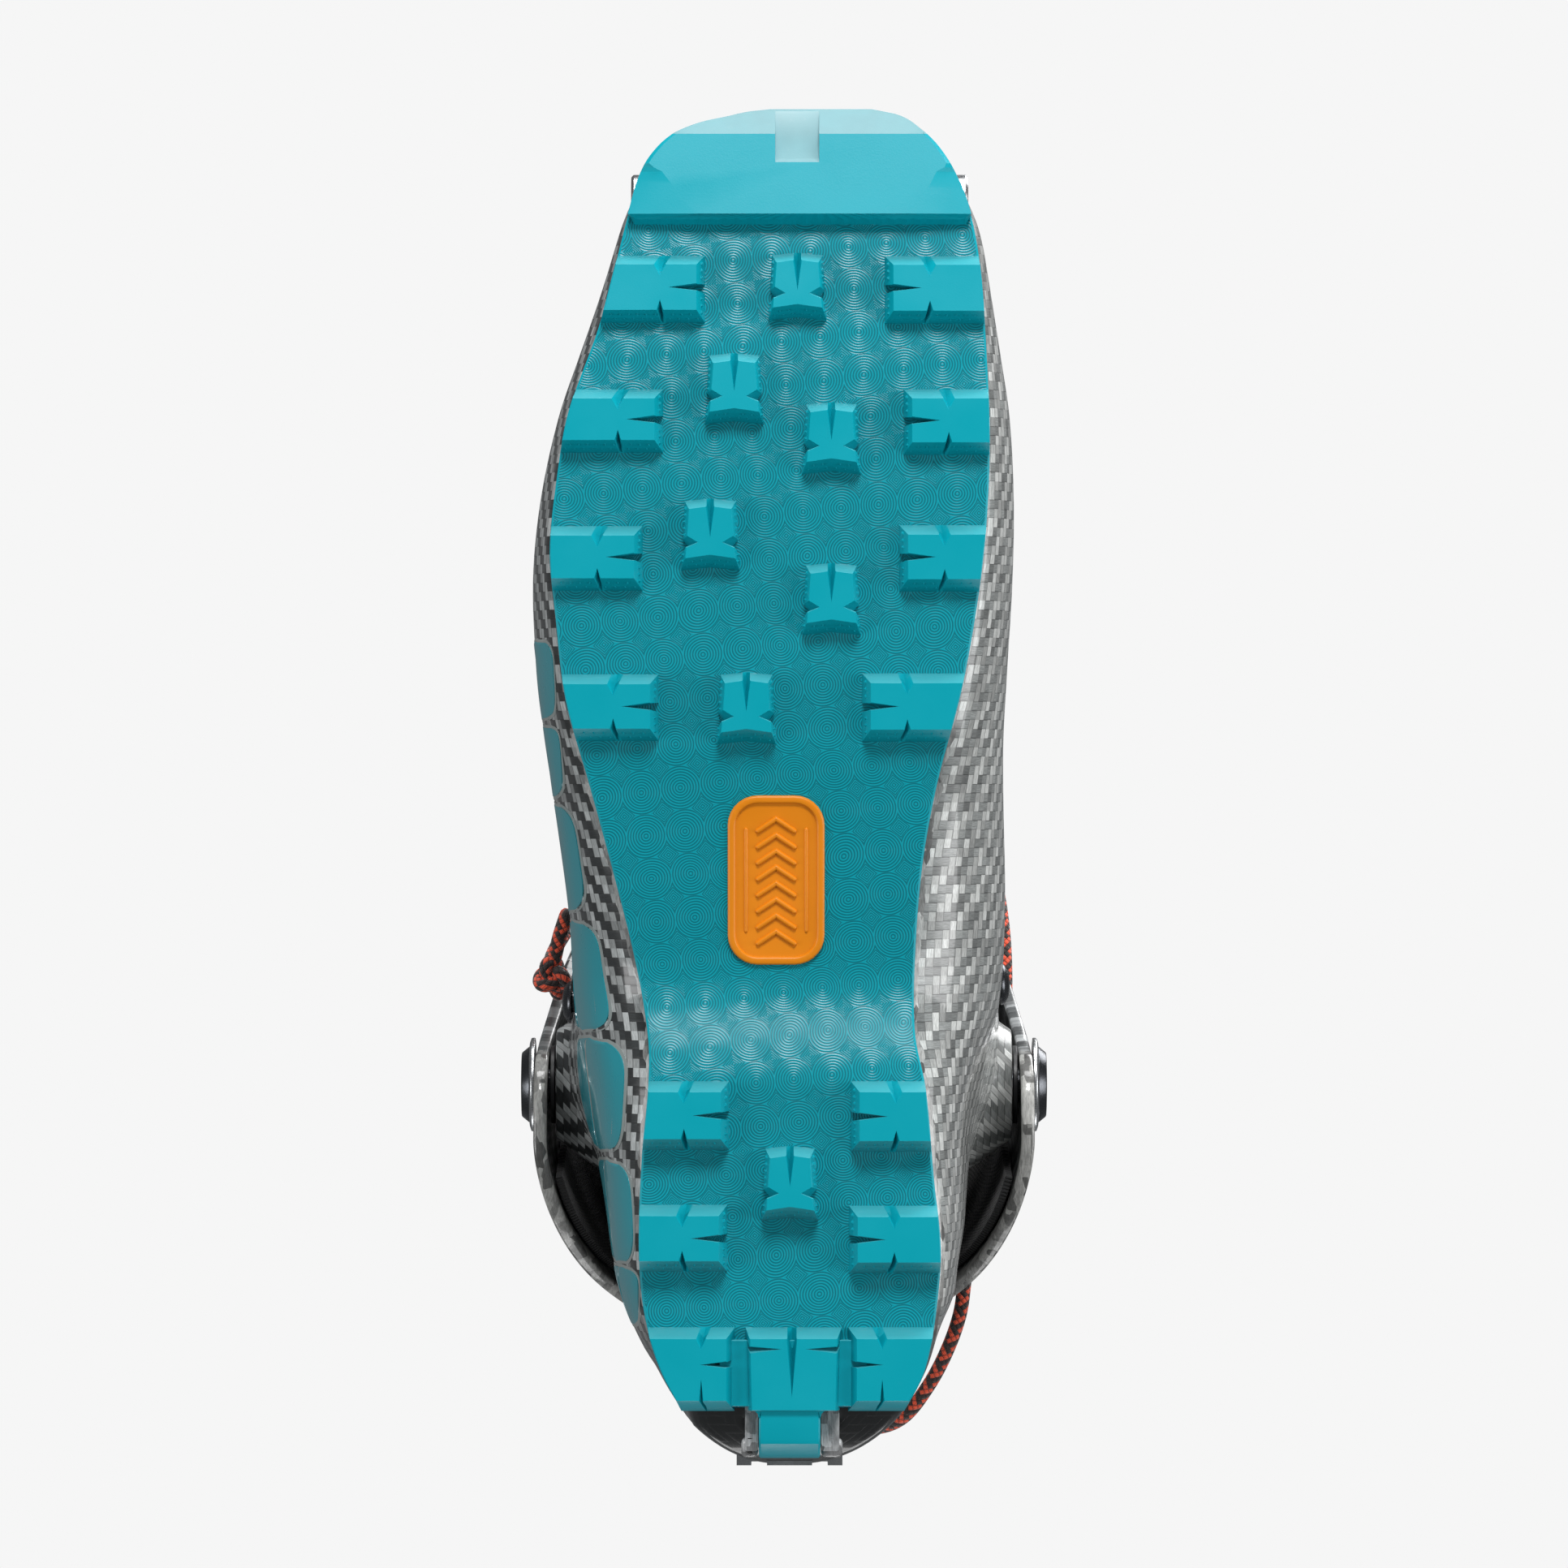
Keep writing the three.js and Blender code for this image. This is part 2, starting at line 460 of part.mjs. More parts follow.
// The heel plate has an upright slot for each of a binding's two heel pins.
const slotCut = (x) => box(V(x - 1.7, HEEL_FITTING.front + 0.3, 10), V(x + 1.7, 160, 33.5));
const screwSeat = (radius, y0, y1) => turned([[y0, 0], [y0, radius], [y1, radius], [y1, 0]], 16)
  .rotateZ(Math.PI / 2).translate(HEEL_FITTING.x, HEEL_FITTING.back, HEEL_FITTING.z);
add("heel_fitting", cut(heelBlock(0, HEEL_FITTING.front, HEEL_FITTING.back), slotCut(HEEL_FITTING.x - 6.6), slotCut(HEEL_FITTING.x + 6.6),
  screwSeat(3.1, -2.9, 10)), steel);
add("heel_fitting_screw", turned([[-2.6, 0], [-2.6, 2.7], [-0.2, 2.7], [-0.2, 1.5], [-1.4, 1.3], [-1.4, 0]], 16)
  .rotateZ(Math.PI / 2).translate(HEEL_FITTING.x, HEEL_FITTING.back, HEEL_FITTING.z), steel);

const BOARD = 4;
const boardTop = (y) => baseZ(y) + RUBBER + GAP + SHELL_WALL + 0.4 + BOARD;
const slabUnder = (top) => asSolid(soleSlab(-120, 136, () => -20, top, 40, -40));
const under = (top, form) => biggest(asSolid(form).intersect(slabUnder(top)));
add("boot_board", under(boardTop, shellForm(SHELL_WALL + 0.4)), blackPlastic);

// ---- inner boot, foot part ----------------------------------------------------------------------------
const LINER_OUT = SHELL_WALL + 1;
const LINER_LIFT = BOARD + 0.2;
const FOOT_TOP = 128;
const ankleBack = line([84, 131], [100, 130], [130, 129]);
const ankleFront = line([84, 30], [100, 19], [115, 12.5], [130, 13.5]);

// The inner boot's round part over the ankle, moved inwards by inset.
function ankleForm(inset, low, high) {
  return loft(range(8).map((i) => {
    const z = mix(low, high, i / 7);
    const [back, front] = [ankleBack(z) - inset, ankleFront(z) + inset];
    return range(32).map((j) => {
      const turn = (2 * Math.PI * j) / 32;
      return V((43.5 - inset) * Math.sin(turn), (back + front) / 2 - ((back - front) / 2) * Math.cos(turn), z);
    });
  }));
}
const LINER_COLLAR = [[16, 118], [24, 110], [32, 106], ...COLLAR.slice(3)];
const nutRoom = SIDES.map((side) => pivotDisc(side, 9.2, 42.4, 60));
const socketRoom = [-TOE_SOCKET.half.little, TOE_SOCKET.half.big].map((x) => turned(
  [[Math.abs(x) - 3.3, 0], [Math.abs(x) - 3.3, 5.5], [60, 5.5], [60, 0]],
).scale(Math.sign(x), 1, 1).translate(0, TOE_SOCKET.y, TOE_SOCKET.z));
const rivetRoom = RIVETS.map(({ x, y, z }) => turned(
  [[Math.abs(x) - 4, 0], [Math.abs(x) - 4, 2.8], [60, 2.8], [60, 0]],
).scale(Math.sign(x), 1, 1).translate(0, y, z));
const shellSpace = cut(shellForm(-3), shellForm(SHELL_WALL + 0.6), aboveCollar(0.6));
const linerOutside = cut(join(cut(shellForm(LINER_OUT, LINER_LIFT, 20, 20), aboveCollar(4, LINER_COLLAR)),
  ankleForm(0, 84, FOOT_TOP)), shellSpace);
const linerInside = join(cut(shellForm(LINER_OUT + LINER_WALL, LINER_LIFT, 20, 20), aboveCollar(-1, LINER_COLLAR)),
  ankleForm(LINER_WALL, 80, FOOT_TOP + 8));
add("liner_foot", biggest(cut(linerOutside, linerInside, ...nutRoom, ...socketRoom, ...rivetRoom,
  heelBlock(0.6, HEEL_FITTING.front - 0.7, 160), slabUnder((y) => boardTop(y) + GAP))), foam);

const footbedTop = (y) => boardTop(y) + LINER_WALL + 0.6 + 3.2;
add("footbed", under(footbedTop, shellForm(LINER_OUT + LINER_WALL + 0.5, LINER_LIFT, 20, 20)), tealPlastic);

// ---- instep: gaiter, lacing and reel ------------------------------------------------------------------
const GAITER = 1;
const GAITER_IN = 0.7; // from the shell's own curve, which its faces stray from a little
const GAITER_OUT = GAITER_IN + GAITER;
// A sheet over the instep from one knot of the section to another, between two positions along Y.
function instepSheet(y0, y1, knot0, knot1, low, high, rows, cols) {
  const grid = (lift) => range(rows).map((i) => range(cols).map((j) => {
    const y = mix(y0, y1, i / (rows - 1));
    return onShell(y, mix(knot0, knot1, j / (cols - 1)), lift);
  }));
  return thickSheet(grid(high), grid(low));
}
add("instep_gaiter", cut(instepSheet(-86, 13, 4.35, 7.65, GAITER_IN, GAITER_OUT, 15, 13), linerOutside), blackFabric);

// The frame on the instep's top at the reel, its third axis square to the instep.
function instepFrame(y, knot, lift) {
  const at = onShell(y, knot, lift);
  const along = onShell(y - 1, knot, lift).sub(onShell(y + 1, knot, lift));
  const wide = onShell(y, knot + 0.2, lift).sub(onShell(y, knot - 0.2, lift));
  return basis(at, along, wide);
}
const reelFrame = instepFrame(REEL_Y, 6, GAITER_OUT);
const reelTurned = (profile, sides) => turned(profile, sides).rotateY(-Math.PI / 2).applyMatrix4(reelFrame);
add("reel_base", cut(reelTurned([[-6, 0], [-6, 16.5], [3, 16.5], [4.6, 15], [4.6, 0]], 32),
  shellForm(-GAITER_OUT - 2 * GAP), reelTurned([[1.2, 0], [1.2, 6], [8, 6], [8, 0]])), blackPlastic);
add("reel_core", reelTurned([[1.6, 0], [1.6, 5.6], [4.2, 5.6], [4.2, 3], [9, 3], [9, 0]]), steel);

// The knurled dial over the core.
const DIAL_TEETH = 26;
const dialOutline = new THREE.Shape(range(DIAL_TEETH * 2).map((i) => {
  const turn = (Math.PI * i) / DIAL_TEETH;
  const radius = i % 2 ? 13.9 : 14.6;
  return new THREE.Vector2(radius * Math.cos(turn), radius * Math.sin(turn));
}));
add("reel_dial", cut(extruded(dialOutline, 8.2).translate(0, 0, 5.2).applyMatrix4(reelFrame),
  reelTurned([[4, 0], [4, 3.3], [9.4, 3.3], [9.4, 0]]),
  reelTurned([[12, 0], [12, 9], [20, 9.8], [20, 0]], 24)), blackPlastic);

// Lace guides: blocks beside the throat with a bore along the boot.
const GUIDES = [
  ["lace_guide_lateral_front", -66, 4.05], ["lace_guide_medial_front", -66, 7.95],
  ["lace_guide_lateral_back", -44, 4.05], ["lace_guide_medial_back", -44, 7.95],
];
const GUIDE_BORE = 3.1; // height of the lace over the shell inside a guide
const alongBar = (radius, length, height, sides = 12) => turned(
  [[-length / 2, 0], [-length / 2, radius], [length / 2, radius], [length / 2, 0]], sides).translate(0, 0, height);
for (const [name, y, knot] of GUIDES) {
  const frame = instepFrame(y, knot, 0);
  const block = extruded(rounded(12, 7.5, 2.6), 8, 3).translate(0, 0, -3).applyMatrix4(frame);
  const bore = alongBar(1.35, 20, GUIDE_BORE, 10).applyMatrix4(frame);
  add(name, cut(block, shellForm(-GAP), bore), blackPlastic);
}

// The lace: out of the reel, through the guides on each side, crossing over the gaiter, and back.
const guideRun = (i, ...offsets) => offsets.map((along) => {
  const frame = instepFrame(GUIDES[i][1], GUIDES[i][2], 0);
  return V(along, 0, GUIDE_BORE).applyMatrix4(frame).toArray();
});
// Points over the instep between two places given as [y, knot], lifted most in the middle.
const laceOver = ([y0, knot0], [y1, knot1], lift) => range(7).map((i) => {
  const t = (i + 0.5) / 7;
  return onShell(mix(y0, y1, t), mix(knot0, knot1, t), 3.4 + (lift - 3.4) * Math.sin(Math.PI * t)).toArray();
});
const reelPort = (side, out, away) => V(away, out * side, 2.9).applyMatrix4(reelFrame).toArray();
add("instep_lace", tube([
  reelPort(-1, 12.4, 12.6), reelPort(-1, 15, 16.5), ...laceOver([-36, 4.9], [-36, 4.3], 4), ...guideRun(2, -7, -3, 3, 7),
  ...laceOver([-53, 4.2], [-58, 7.8], 5.2), ...guideRun(1, -7, -3, 3, 7),
  ...laceOver([-76, 7.6], [-76, 4.4], 3.6), ...guideRun(0, 7, 3, -3, -7),
  ...laceOver([-58, 4.2], [-53, 7.8], 3.2), ...guideRun(3, 7, 3, -3, -7),
  ...laceOver([-36, 7.7], [-36, 7.1], 4), reelPort(1, 15, 16.5), reelPort(1, 12.4, 12.6),
], LACE_D, 6, 4.6), wire);

// ---- heel and ankle hardware on the shell -------------------------------------------------------------
// The catch that the lever drops over, screwed to the back of the shell.
const CATCH = { x: 1, w: 18, low: 66, high: 84, back: 147.2 };
const catchBody = across([[125, CATCH.low], [145.5, CATCH.low], [CATCH.back, CATCH.low + 3], [CATCH.back, CATCH.high - 7],
  [CATCH.back - 2.4, CATCH.high], [125, CATCH.high]], CATCH.x - CATCH.w / 2, CATCH.x + CATCH.w / 2);
const catchScrew = (x, radius, y0, y1) => turned([[y0, 0], [y0, radius], [y1, radius], [y1, 0]], 14)
  .rotateZ(Math.PI / 2).translate(x, 0, 71.5);
const catchScrewX = [CATCH.x - 5, CATCH.x + 5];
add("lock_catch", biggest(cut(catchBody, shellForm(-GAP), ...catchScrewX.map((x) => catchScrew(x, 2.9, 145, 160)))), steel);
catchScrewX.forEach((x, i) => add(`lock_catch_screw_${i + 1}`,
  cut(catchScrew(x, 2.5, 145.3, 147.4), catchScrew(x, 1.2, 146.4, 150)), steel));

for (const side of SIDES) {
  const suffix = side < 0 ? "lateral" : "medial";
  const nut = turned([[42.8, 0], [42.8, 7.6], [46.6, 8.1], [46.6, 4.9], [51, 4.9], [51, 3.5], [44.6, 3.5], [44.6, 0]])
    .scale(side, 1, 1).translate(0, PIVOT.y, PIVOT.z);
  add(`pivot_nut_${suffix}`, nut, steel);
}
RIVETS.forEach(({ x, y, z }, i) => {
  const out = Math.abs(x);
  const rivet = turned([[out - 3.4, 0], [out - 3.4, 2.3], [out + 1, 2.3], [out + 1, 4.8], [out + 1.8, 4.5],
    [out + 2.8, 2.9], [out + 3.2, 0]], 20).scale(Math.sign(x), 1, 1).translate(0, y, z);
  add(`gaiter_rivet_${i ? "medial" : "lateral"}`, rivet, blackPlastic);
});

// ---- cuff ---------------------------------------------------------------------------------------------
const cuffSheet = thickSheet(cuffGrid(0, 12, 29), cuffGrid(CUFF_WALL, 12, 29));
const boltBores = SIDES.map((side) => pivotDisc(side, 4.4, 45, 62));
const washerSeats = SIDES.map((side) => pivotDisc(side, 9.2, 45, 53));
add("cuff", cut(cuffSheet, ...boltBores, ...washerSeats), carbon);
const PAD_OUT = CUFF_WALL + 0.6;
const PAD_IN = PAD_OUT + 1.7;
add("cuff_pad", cut(thickSheet(cuffGrid(PAD_OUT, 9, 23, 0.8, 6, 7), cuffGrid(PAD_IN, 9, 23, 0.8, 6, 7)), ...SIDES
  .map((side) => pivotDisc(side, 12, 40, 62))), blackFabric);

for (const side of SIDES) {
  const suffix = side < 0 ? "lateral" : "medial";
  const bolt = turned([[47, 0], [47, 3.1], [52, 3.1], [52, 4], [56.5, 4], [56.5, 9.8], [57.4, 10.1], [HEAD_OUT - 0.6, 8.6],
    [HEAD_OUT, 7.8], [HEAD_OUT, 3.4], [HEAD_OUT - 1.4, 3], [HEAD_OUT - 1.4, 0]], 28)
    .scale(side, 1, 1).translate(0, PIVOT.y, PIVOT.z);
  const washer = turned([[51.7, 4.5], [51.7, 8.8], [52.7, 8.8], [52.7, 4.5], [51.7, 4.5]])
    .scale(side, 1, 1).translate(0, PIVOT.y, PIVOT.z);
  add(`pivot_bolt_${suffix}`, bolt, steel);
  add(`pivot_washer_${suffix}`, washer, blackPlastic);
}

// The shin flap closes the cuff's front, inside its edges.
const FLAP_OUT = PAD_IN + 0.4;
const FLAP_IN = FLAP_OUT + 1.8;
function frontGrid(inset, rows, cols) {
  return range(rows).map((i) => range(cols).map((j) => {
    const share = (2 * j) / (cols - 1) - 1;
    const z = mix(160 - 4 * share * share, 292 - 14 * share * share, i / (rows - 1));
    return cuffPoint(Math.PI + share * degrees(62), z, inset);
  }));
}
add("shin_flap", thickSheet(frontGrid(FLAP_OUT, 10, 15), frontGrid(FLAP_IN, 10, 15)), blackPlastic);

// The inner boot's shaft.
const SHAFT_OUT = FLAP_IN + 0.4;
const SHAFT_WALL = 4.5;
function shaftGrid(inset, rows = 10, cols = 28) {
  return range(rows).map((i) => range(cols).map((j) => {
    const turn = (2 * Math.PI * j) / cols;
    const z = mix(FOOT_TOP + 1, 306 + 10 * Math.cos(turn), i / (rows - 1));
    return cuffPoint(turn, z, inset);
  }));
}
add("liner_shaft", thickSheet(shaftGrid(SHAFT_OUT), shaftGrid(SHAFT_OUT + SHAFT_WALL), true), foam);

// ---- closure of the cuff ------------------------------------------------------------------------------
// The frame on the cuff's outside, its first axis upwards and its third square to the cuff.
function cuffFrame(turn, z, lift = 0) {
  const at = cuffPoint(turn, z, -lift);
  const up = cuffPoint(turn, z + 1, -lift).sub(cuffPoint(turn, z - 1, -lift));
  const wide = cuffPoint(turn + 0.02, z, -lift).sub(cuffPoint(turn - 0.02, z, -lift));
  return basis(at, wide.negate(), up);
}
const cuffSpace = asSolid(thickSheet(cuffGrid(-0.5, 13, 31, 1.1, -20, 20), cuffGrid(14, 13, 31, 1.1, -20, 20)));
const CORD_LIFT = 3.7; // middle of the cord over the cuff inside a guide
const EYELET = { turn: degrees(-100), z: 124 };
const CORD_GUIDES = [
  ["cord_guide_lateral_low", -1, 172, 10], ["cord_guide_medial_low", 1, 184, 10],
  ["cord_guide_lateral_high", -1, 226, 10], ["cord_guide_medial_high", 1, 238, 10],
  ["cord_guide_medial_back", 1, 212, 76],
].map(([name, side, z, fromEdge]) => ({ name, z, turn: side * (frontTurn(z) - degrees(fromEdge)) }));
const guideFrame = ({ turn, z }) => cuffFrame(turn, z);
for (const guide of CORD_GUIDES) {
  const frame = guideFrame(guide);
  const block = extruded(rounded(9.5, 11, 3), 8, 3).translate(0, 0, -1.6).applyMatrix4(frame);
  const bore = turned([[-12, 0], [-12, 2.25], [12, 2.25], [12, 0]], 14).rotateZ(Math.PI / 2)
    .translate(0, 0, CORD_LIFT).applyMatrix4(frame);
  add(guide.name, biggest(cut(block, bore, cuffSpace)), blackPlastic);
}

// Points of the cord inside a guide, at heights along it.
const through = (guide, ...heights) => heights.map((h) => V(0, h, CORD_LIFT).applyMatrix4(guideFrame(guide)).toArray());
// Points over the cuff between two [turn in degrees, z], lifted.
const cordOver = ([turn0, z0], [turn1, z1], lift, count = 6) => range(count).map((i) => {
  const t = (i + 0.5) / count;
  return cuffPoint(degrees(mix(turn0, turn1, t)), mix(z0, z1, t), -lift).toArray();
});
const inDegrees = ({ turn }) => THREE.MathUtils.radToDeg(turn);
const [littleLow, bigLow, littleHigh, bigHigh, bigBack] = CORD_GUIDES;
const around = (a, b, up, lift) => {
  const start = [inDegrees(a), a.z + 9 * up];
  const end = [inDegrees(b) < 0 ? inDegrees(b) + (inDegrees(a) > 0 ? 360 : 0) : inDegrees(b) - (inDegrees(a) < 0 ? 360 : 0),
    b.z - 9];
  return cordOver(start, end, lift, 9);
};
const KNOT = V(-52.6, 43.4, 106);
add("closure_cord_front", tube([
  [-53.2, 43.8, 110.9], [-55, 43, 117], [-56.4, 41.2, 125],
  ...cordOver([-115, 134], [-136, 160], 4.6, 4), ...through(littleLow, -7, 0, 7),
  ...around(littleLow, bigLow, 1, 3.6), ...through(bigLow, -7, 0, 7),
  ...around(bigLow, littleHigh, 1, 3.6), ...through(littleHigh, -7, 0, 7),
  ...around(littleHigh, bigHigh, 1, 3.6), ...through(bigHigh, -7, -2, 3),
], CORD_D, 8, 6.5), cordRed);
add("closure_cord_back", tube([
  ...through(bigHigh, 3.6, 7), ...cordOver([148, 250], [84, 226], 3.6, 9), ...through(bigBack, 7, 0, -7),
  [51.5, 75, 192], [49.5, 88, 178], [46.4, 102, 168], [42.5, 116, 164], [36, 133, 162], [27.5, 147.5, 165],
  [17, 149, 176], [8, 146.5, 184], [3, 143.6, 187.5],
], CORD_D, 8, 6.5), cordRed);
add("cord_knot", new THREE.IcosahedronGeometry(4.1, 1).scale(1, 1.05, 0.9).translate(...KNOT), cordRed);
add("cord_tail", tube([[-51.8, 38.6, 105.6], [-50.8, 34.4, 104.8], [-49.3, 29.8, 104]], CORD_D, 8), cordRed);

// ---- ski and walk lever -------------------------------------------------------------------------------
const acrossDisc = (radius, half, sides = 20) => turned([[-half, 0], [-half, radius], [half, radius], [half, 0]], sides)
  .translate(0, LEVER.y, LEVER.z);
const bracket = across([[118, 152], [138, 155], [144.4, 159.5], [144.4, 166.5], [138, 171], [112, 174]], -10.6, 10.6);
add("lever_bracket", biggest(cut(bracket, cuffSpace, box(V(-7.3, 133.6, 140), V(7.3, 160, 180)), acrossDisc(2.2, 20))),
  blackPlastic);
add("lever_pin", turned([[-11.8, 0], [-11.8, 3.1], [-11, 3.3], [-11, 1.9], [11, 1.9], [11, 3.3], [11.8, 3.1], [11.8, 0]], 20)
  .translate(0, LEVER.y, LEVER.z), steel);

// The open lever stands up from its pin, with a hole for the cord and a finger window.
const plate = (x, low, high, thick = 2.2) => box(V(-x, -thick, low), V(x, thick, high));
const standing = (made) => made.rotateX(LEVER_LEAN).translate(0, LEVER.y, LEVER.z);
const leverTip = extruded(rounded(18, 20, 7), 4.4, 4).rotateX(Math.PI / 2).translate(0, 2.2, LEVER_LENGTH - 10);
const cordHole = new THREE.CylinderGeometry(2.3, 2.3, 12, 14).translate(2.5, 0, 24.4);
add("ski_walk_lever", cut(
  join(acrossDisc(4.8, 6.9), standing(plate(6.9, 1, 12)), standing(plate(9, 10, LEVER_LENGTH - 10)), standing(leverTip)),
  acrossDisc(2.2, 20), standing(cordHole), standing(plate(4.6, 46, 70, 9)),
), tealPlastic);

// The loop for pulling the inner boot on stands over the back of its shaft.
const PULL = { y: 84.4, z: 316.6, out: 9, strap: 1.4, half: 8 };
const arc = (radius, from, to) => range(11).map((i) => {
  const turn = mix(from, to, i / 10);
  return [PULL.y + radius * Math.cos(turn), PULL.z + 1.5 * radius * Math.sin(turn)];
});
add("liner_pull_loop", across([...arc(PULL.out, 0, Math.PI), ...arc(PULL.out - PULL.strap, Math.PI, 0)], -PULL.half, PULL.half),
  blackFabric);

// The part's origin is under the middle of its length.
boot.position.y = -1.95;
boot.updateMatrixWorld(true);
export default boot;
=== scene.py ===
"""Looks of a right-foot alpine touring boot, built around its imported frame.

Lengths in this file are millimetres in the boot's own frame unless a name says otherwise: the toe points
to -Y, the big-toe side is +X, the ground under the heel is Z = 0. to_row() turns them into metres.
"""
import math

import bmesh
import bpy
import numpy as np
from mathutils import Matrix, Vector


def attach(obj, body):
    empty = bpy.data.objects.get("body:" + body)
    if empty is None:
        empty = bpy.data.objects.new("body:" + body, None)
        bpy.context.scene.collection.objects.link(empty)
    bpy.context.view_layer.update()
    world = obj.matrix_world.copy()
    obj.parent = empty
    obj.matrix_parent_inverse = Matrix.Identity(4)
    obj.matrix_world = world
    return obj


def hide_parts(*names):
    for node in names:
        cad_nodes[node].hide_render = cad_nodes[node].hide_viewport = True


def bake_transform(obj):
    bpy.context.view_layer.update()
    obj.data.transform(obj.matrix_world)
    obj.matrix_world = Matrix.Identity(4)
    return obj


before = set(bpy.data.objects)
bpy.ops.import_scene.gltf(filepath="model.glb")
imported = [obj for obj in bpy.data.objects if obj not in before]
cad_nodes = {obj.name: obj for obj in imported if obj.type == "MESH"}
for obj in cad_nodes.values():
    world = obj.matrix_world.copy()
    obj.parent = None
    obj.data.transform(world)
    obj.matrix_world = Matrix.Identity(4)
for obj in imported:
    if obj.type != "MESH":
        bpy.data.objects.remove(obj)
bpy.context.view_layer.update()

# ---- driving dimensions ------------------------------------------------------------------------------
MM = 0.001
ORIGIN_Y = -1.95  # the row's origin is under the middle of the boot's length
TOE_Y = -146.2
SOLE_BACK_Y = 134.3
RUBBER = 3.2
GAP = 0.3
SHELL_TOE_Y = -142.8
SHELL_HEEL_Y = 148.3
SHELL_WALL = 2.2
PIVOT_Y, PIVOT_Z = 68, 103
CUFF_WALL = 3.0
CORD_D = 3.3
LACE_D = 1.3
REEL_Y = -16.0
VIEW_DISTANCE = 1900.0  # from the camera to the ground plane
VIEW_WIDTH = 336.6  # of the ground plane, across the picture


LATERAL, MEDIAL = -1, 1
SIDES = (LATERAL, MEDIAL)
SIDE_NAME = {LATERAL: "lateral", MEDIAL: "medial"}


def to_row(points):
    points = np.asarray(points, float).reshape(-1, 3)
    return (points + [0, ORIGIN_Y, 0]) * MM


def mix(a, b, t):
    return a + (b - a) * t


def smooth(t):
    t = np.clip(t, 0, 1)
    return t * t * (3 - 2 * t)


def round_end(t, n):
    return np.maximum(0, 1 - np.clip(t, 0, 1) ** n) ** (1 / n)


def hermite(p1, p2, m1, m2, t):
    """A cubic from p1 to p2 that leaves along m1 and arrives along m2."""
    t2, t3 = t * t, t * t * t
    return (2 * t3 - 3 * t2 + 1) * p1 + (t3 - 2 * t2 + t) * m1 + (3 * t2 - 2 * t3) * p2 + (t3 - t2) * m2


def tangents(p0, p1, p2, p3, d0, d1, d2):
    """Directions at p1 and p2 of a curve through four points that lie d0, d1 and d2 apart."""
    m1 = ((p1 - p0) / d0 - (p2 - p0) / (d0 + d1) + (p2 - p1) / d1) * d1
    m2 = ((p2 - p1) / d1 - (p3 - p1) / (d1 + d2) + (p3 - p2) / d2) * d1
    return m1, m2


def line(*knots):
    """A smooth curve through (position, value) knots, flat beyond both ends."""
    at, value = np.array(knots, float).T
    slope = np.empty(len(at))
    slope[1:-1] = (value[2:] - value[:-2]) / (at[2:] - at[:-2])
    slope[0] = (value[1] - value[0]) / (at[1] - at[0])
    slope[-1] = (value[-1] - value[-2]) / (at[-1] - at[-2])

    def curve(p):
        p = np.clip(p, at[0], at[-1])
        i = np.clip(np.searchsorted(at, p) - 1, 0, len(at) - 2)
        h = at[i + 1] - at[i]
        return hermite(value[i], value[i + 1], h * slope[i], h * slope[i + 1], (p - at[i]) / h)

    return curve


# ---- node trees --------------------------------------------------------------------------------------
class Tree:
    """Shorthand for the nodes of one material or group."""

    def __init__(self, tree):
        self.tree = tree

    def add(self, kind, **settings):
        node = self.tree.nodes.new(kind)
        for key, value in settings.items():
            setattr(node, key, value)
        return node

    def put(self, socket, value):
        if isinstance(value, bpy.types.NodeSocket):
            self.tree.links.new(value, socket)
        elif value is not None:
            socket.default_value = value

    def math(self, operation, *values):
        node = self.add("ShaderNodeMath", operation=operation)
        for socket, value in zip(node.inputs, values):
            self.put(socket, value)
        return node.outputs[0]

    def blend(self, factor, a, b):
        node = self.add("ShaderNodeMix", data_type="RGBA")
        for i, value in zip((0, 6, 7), (factor, a, b)):
            self.put(node.inputs[i], value)
        return node.outputs[2]

    def scale(self, color, factor):
        node = self.add("ShaderNodeVectorMath", operation="SCALE")
        self.put(node.inputs[0], color)
        self.put(node.inputs["Scale"], factor)
        return node.outputs[0]

    def choose(self, factor, a, b):
        """The number a where the factor is 0, and b where it is 1."""
        node = self.add("ShaderNodeMix", data_type="FLOAT")
        for i, value in zip((0, 2, 3), (factor, a, b)):
            self.put(node.inputs[i], value)
        return node.outputs[0]

    def spread(self, value, low, high, to_low=0.0, to_high=1.0):
        node = self.add("ShaderNodeMapRange")
        for i, v in enumerate((value, low, high, to_low, to_high)):
            self.put(node.inputs[i], v)
        return node.outputs[0]

    def noise(self, where, scale, detail=2.0, rough=0.5):
        node = self.add("ShaderNodeTexNoise")
        self.put(node.inputs["Vector"], where)
        node.inputs["Scale"].default_value = scale
        node.inputs["Detail"].default_value = detail
        node.inputs["Roughness"].default_value = rough
        return node.outputs["Fac"]

    def scaled(self, where, factors, shift=(0, 0, 0)):
        node = self.add("ShaderNodeMapping")
        self.put(node.inputs["Vector"], where)
        node.inputs["Scale"].default_value = factors
        node.inputs["Location"].default_value = shift
        return node.outputs[0]

    def split(self, vector):
        node = self.add("ShaderNodeSeparateXYZ")
        self.put(node.inputs[0], vector)
        return node.outputs


def linear(red, green, blue, alpha=1.0):
    """A colour for a socket, from 0 to 255 screen values."""
    def one(c):
        c /= 255
        return c / 12.92 if c <= 0.04045 else ((c + 0.055) / 1.055) ** 2.4
    return (one(red), one(green), one(blue), alpha)


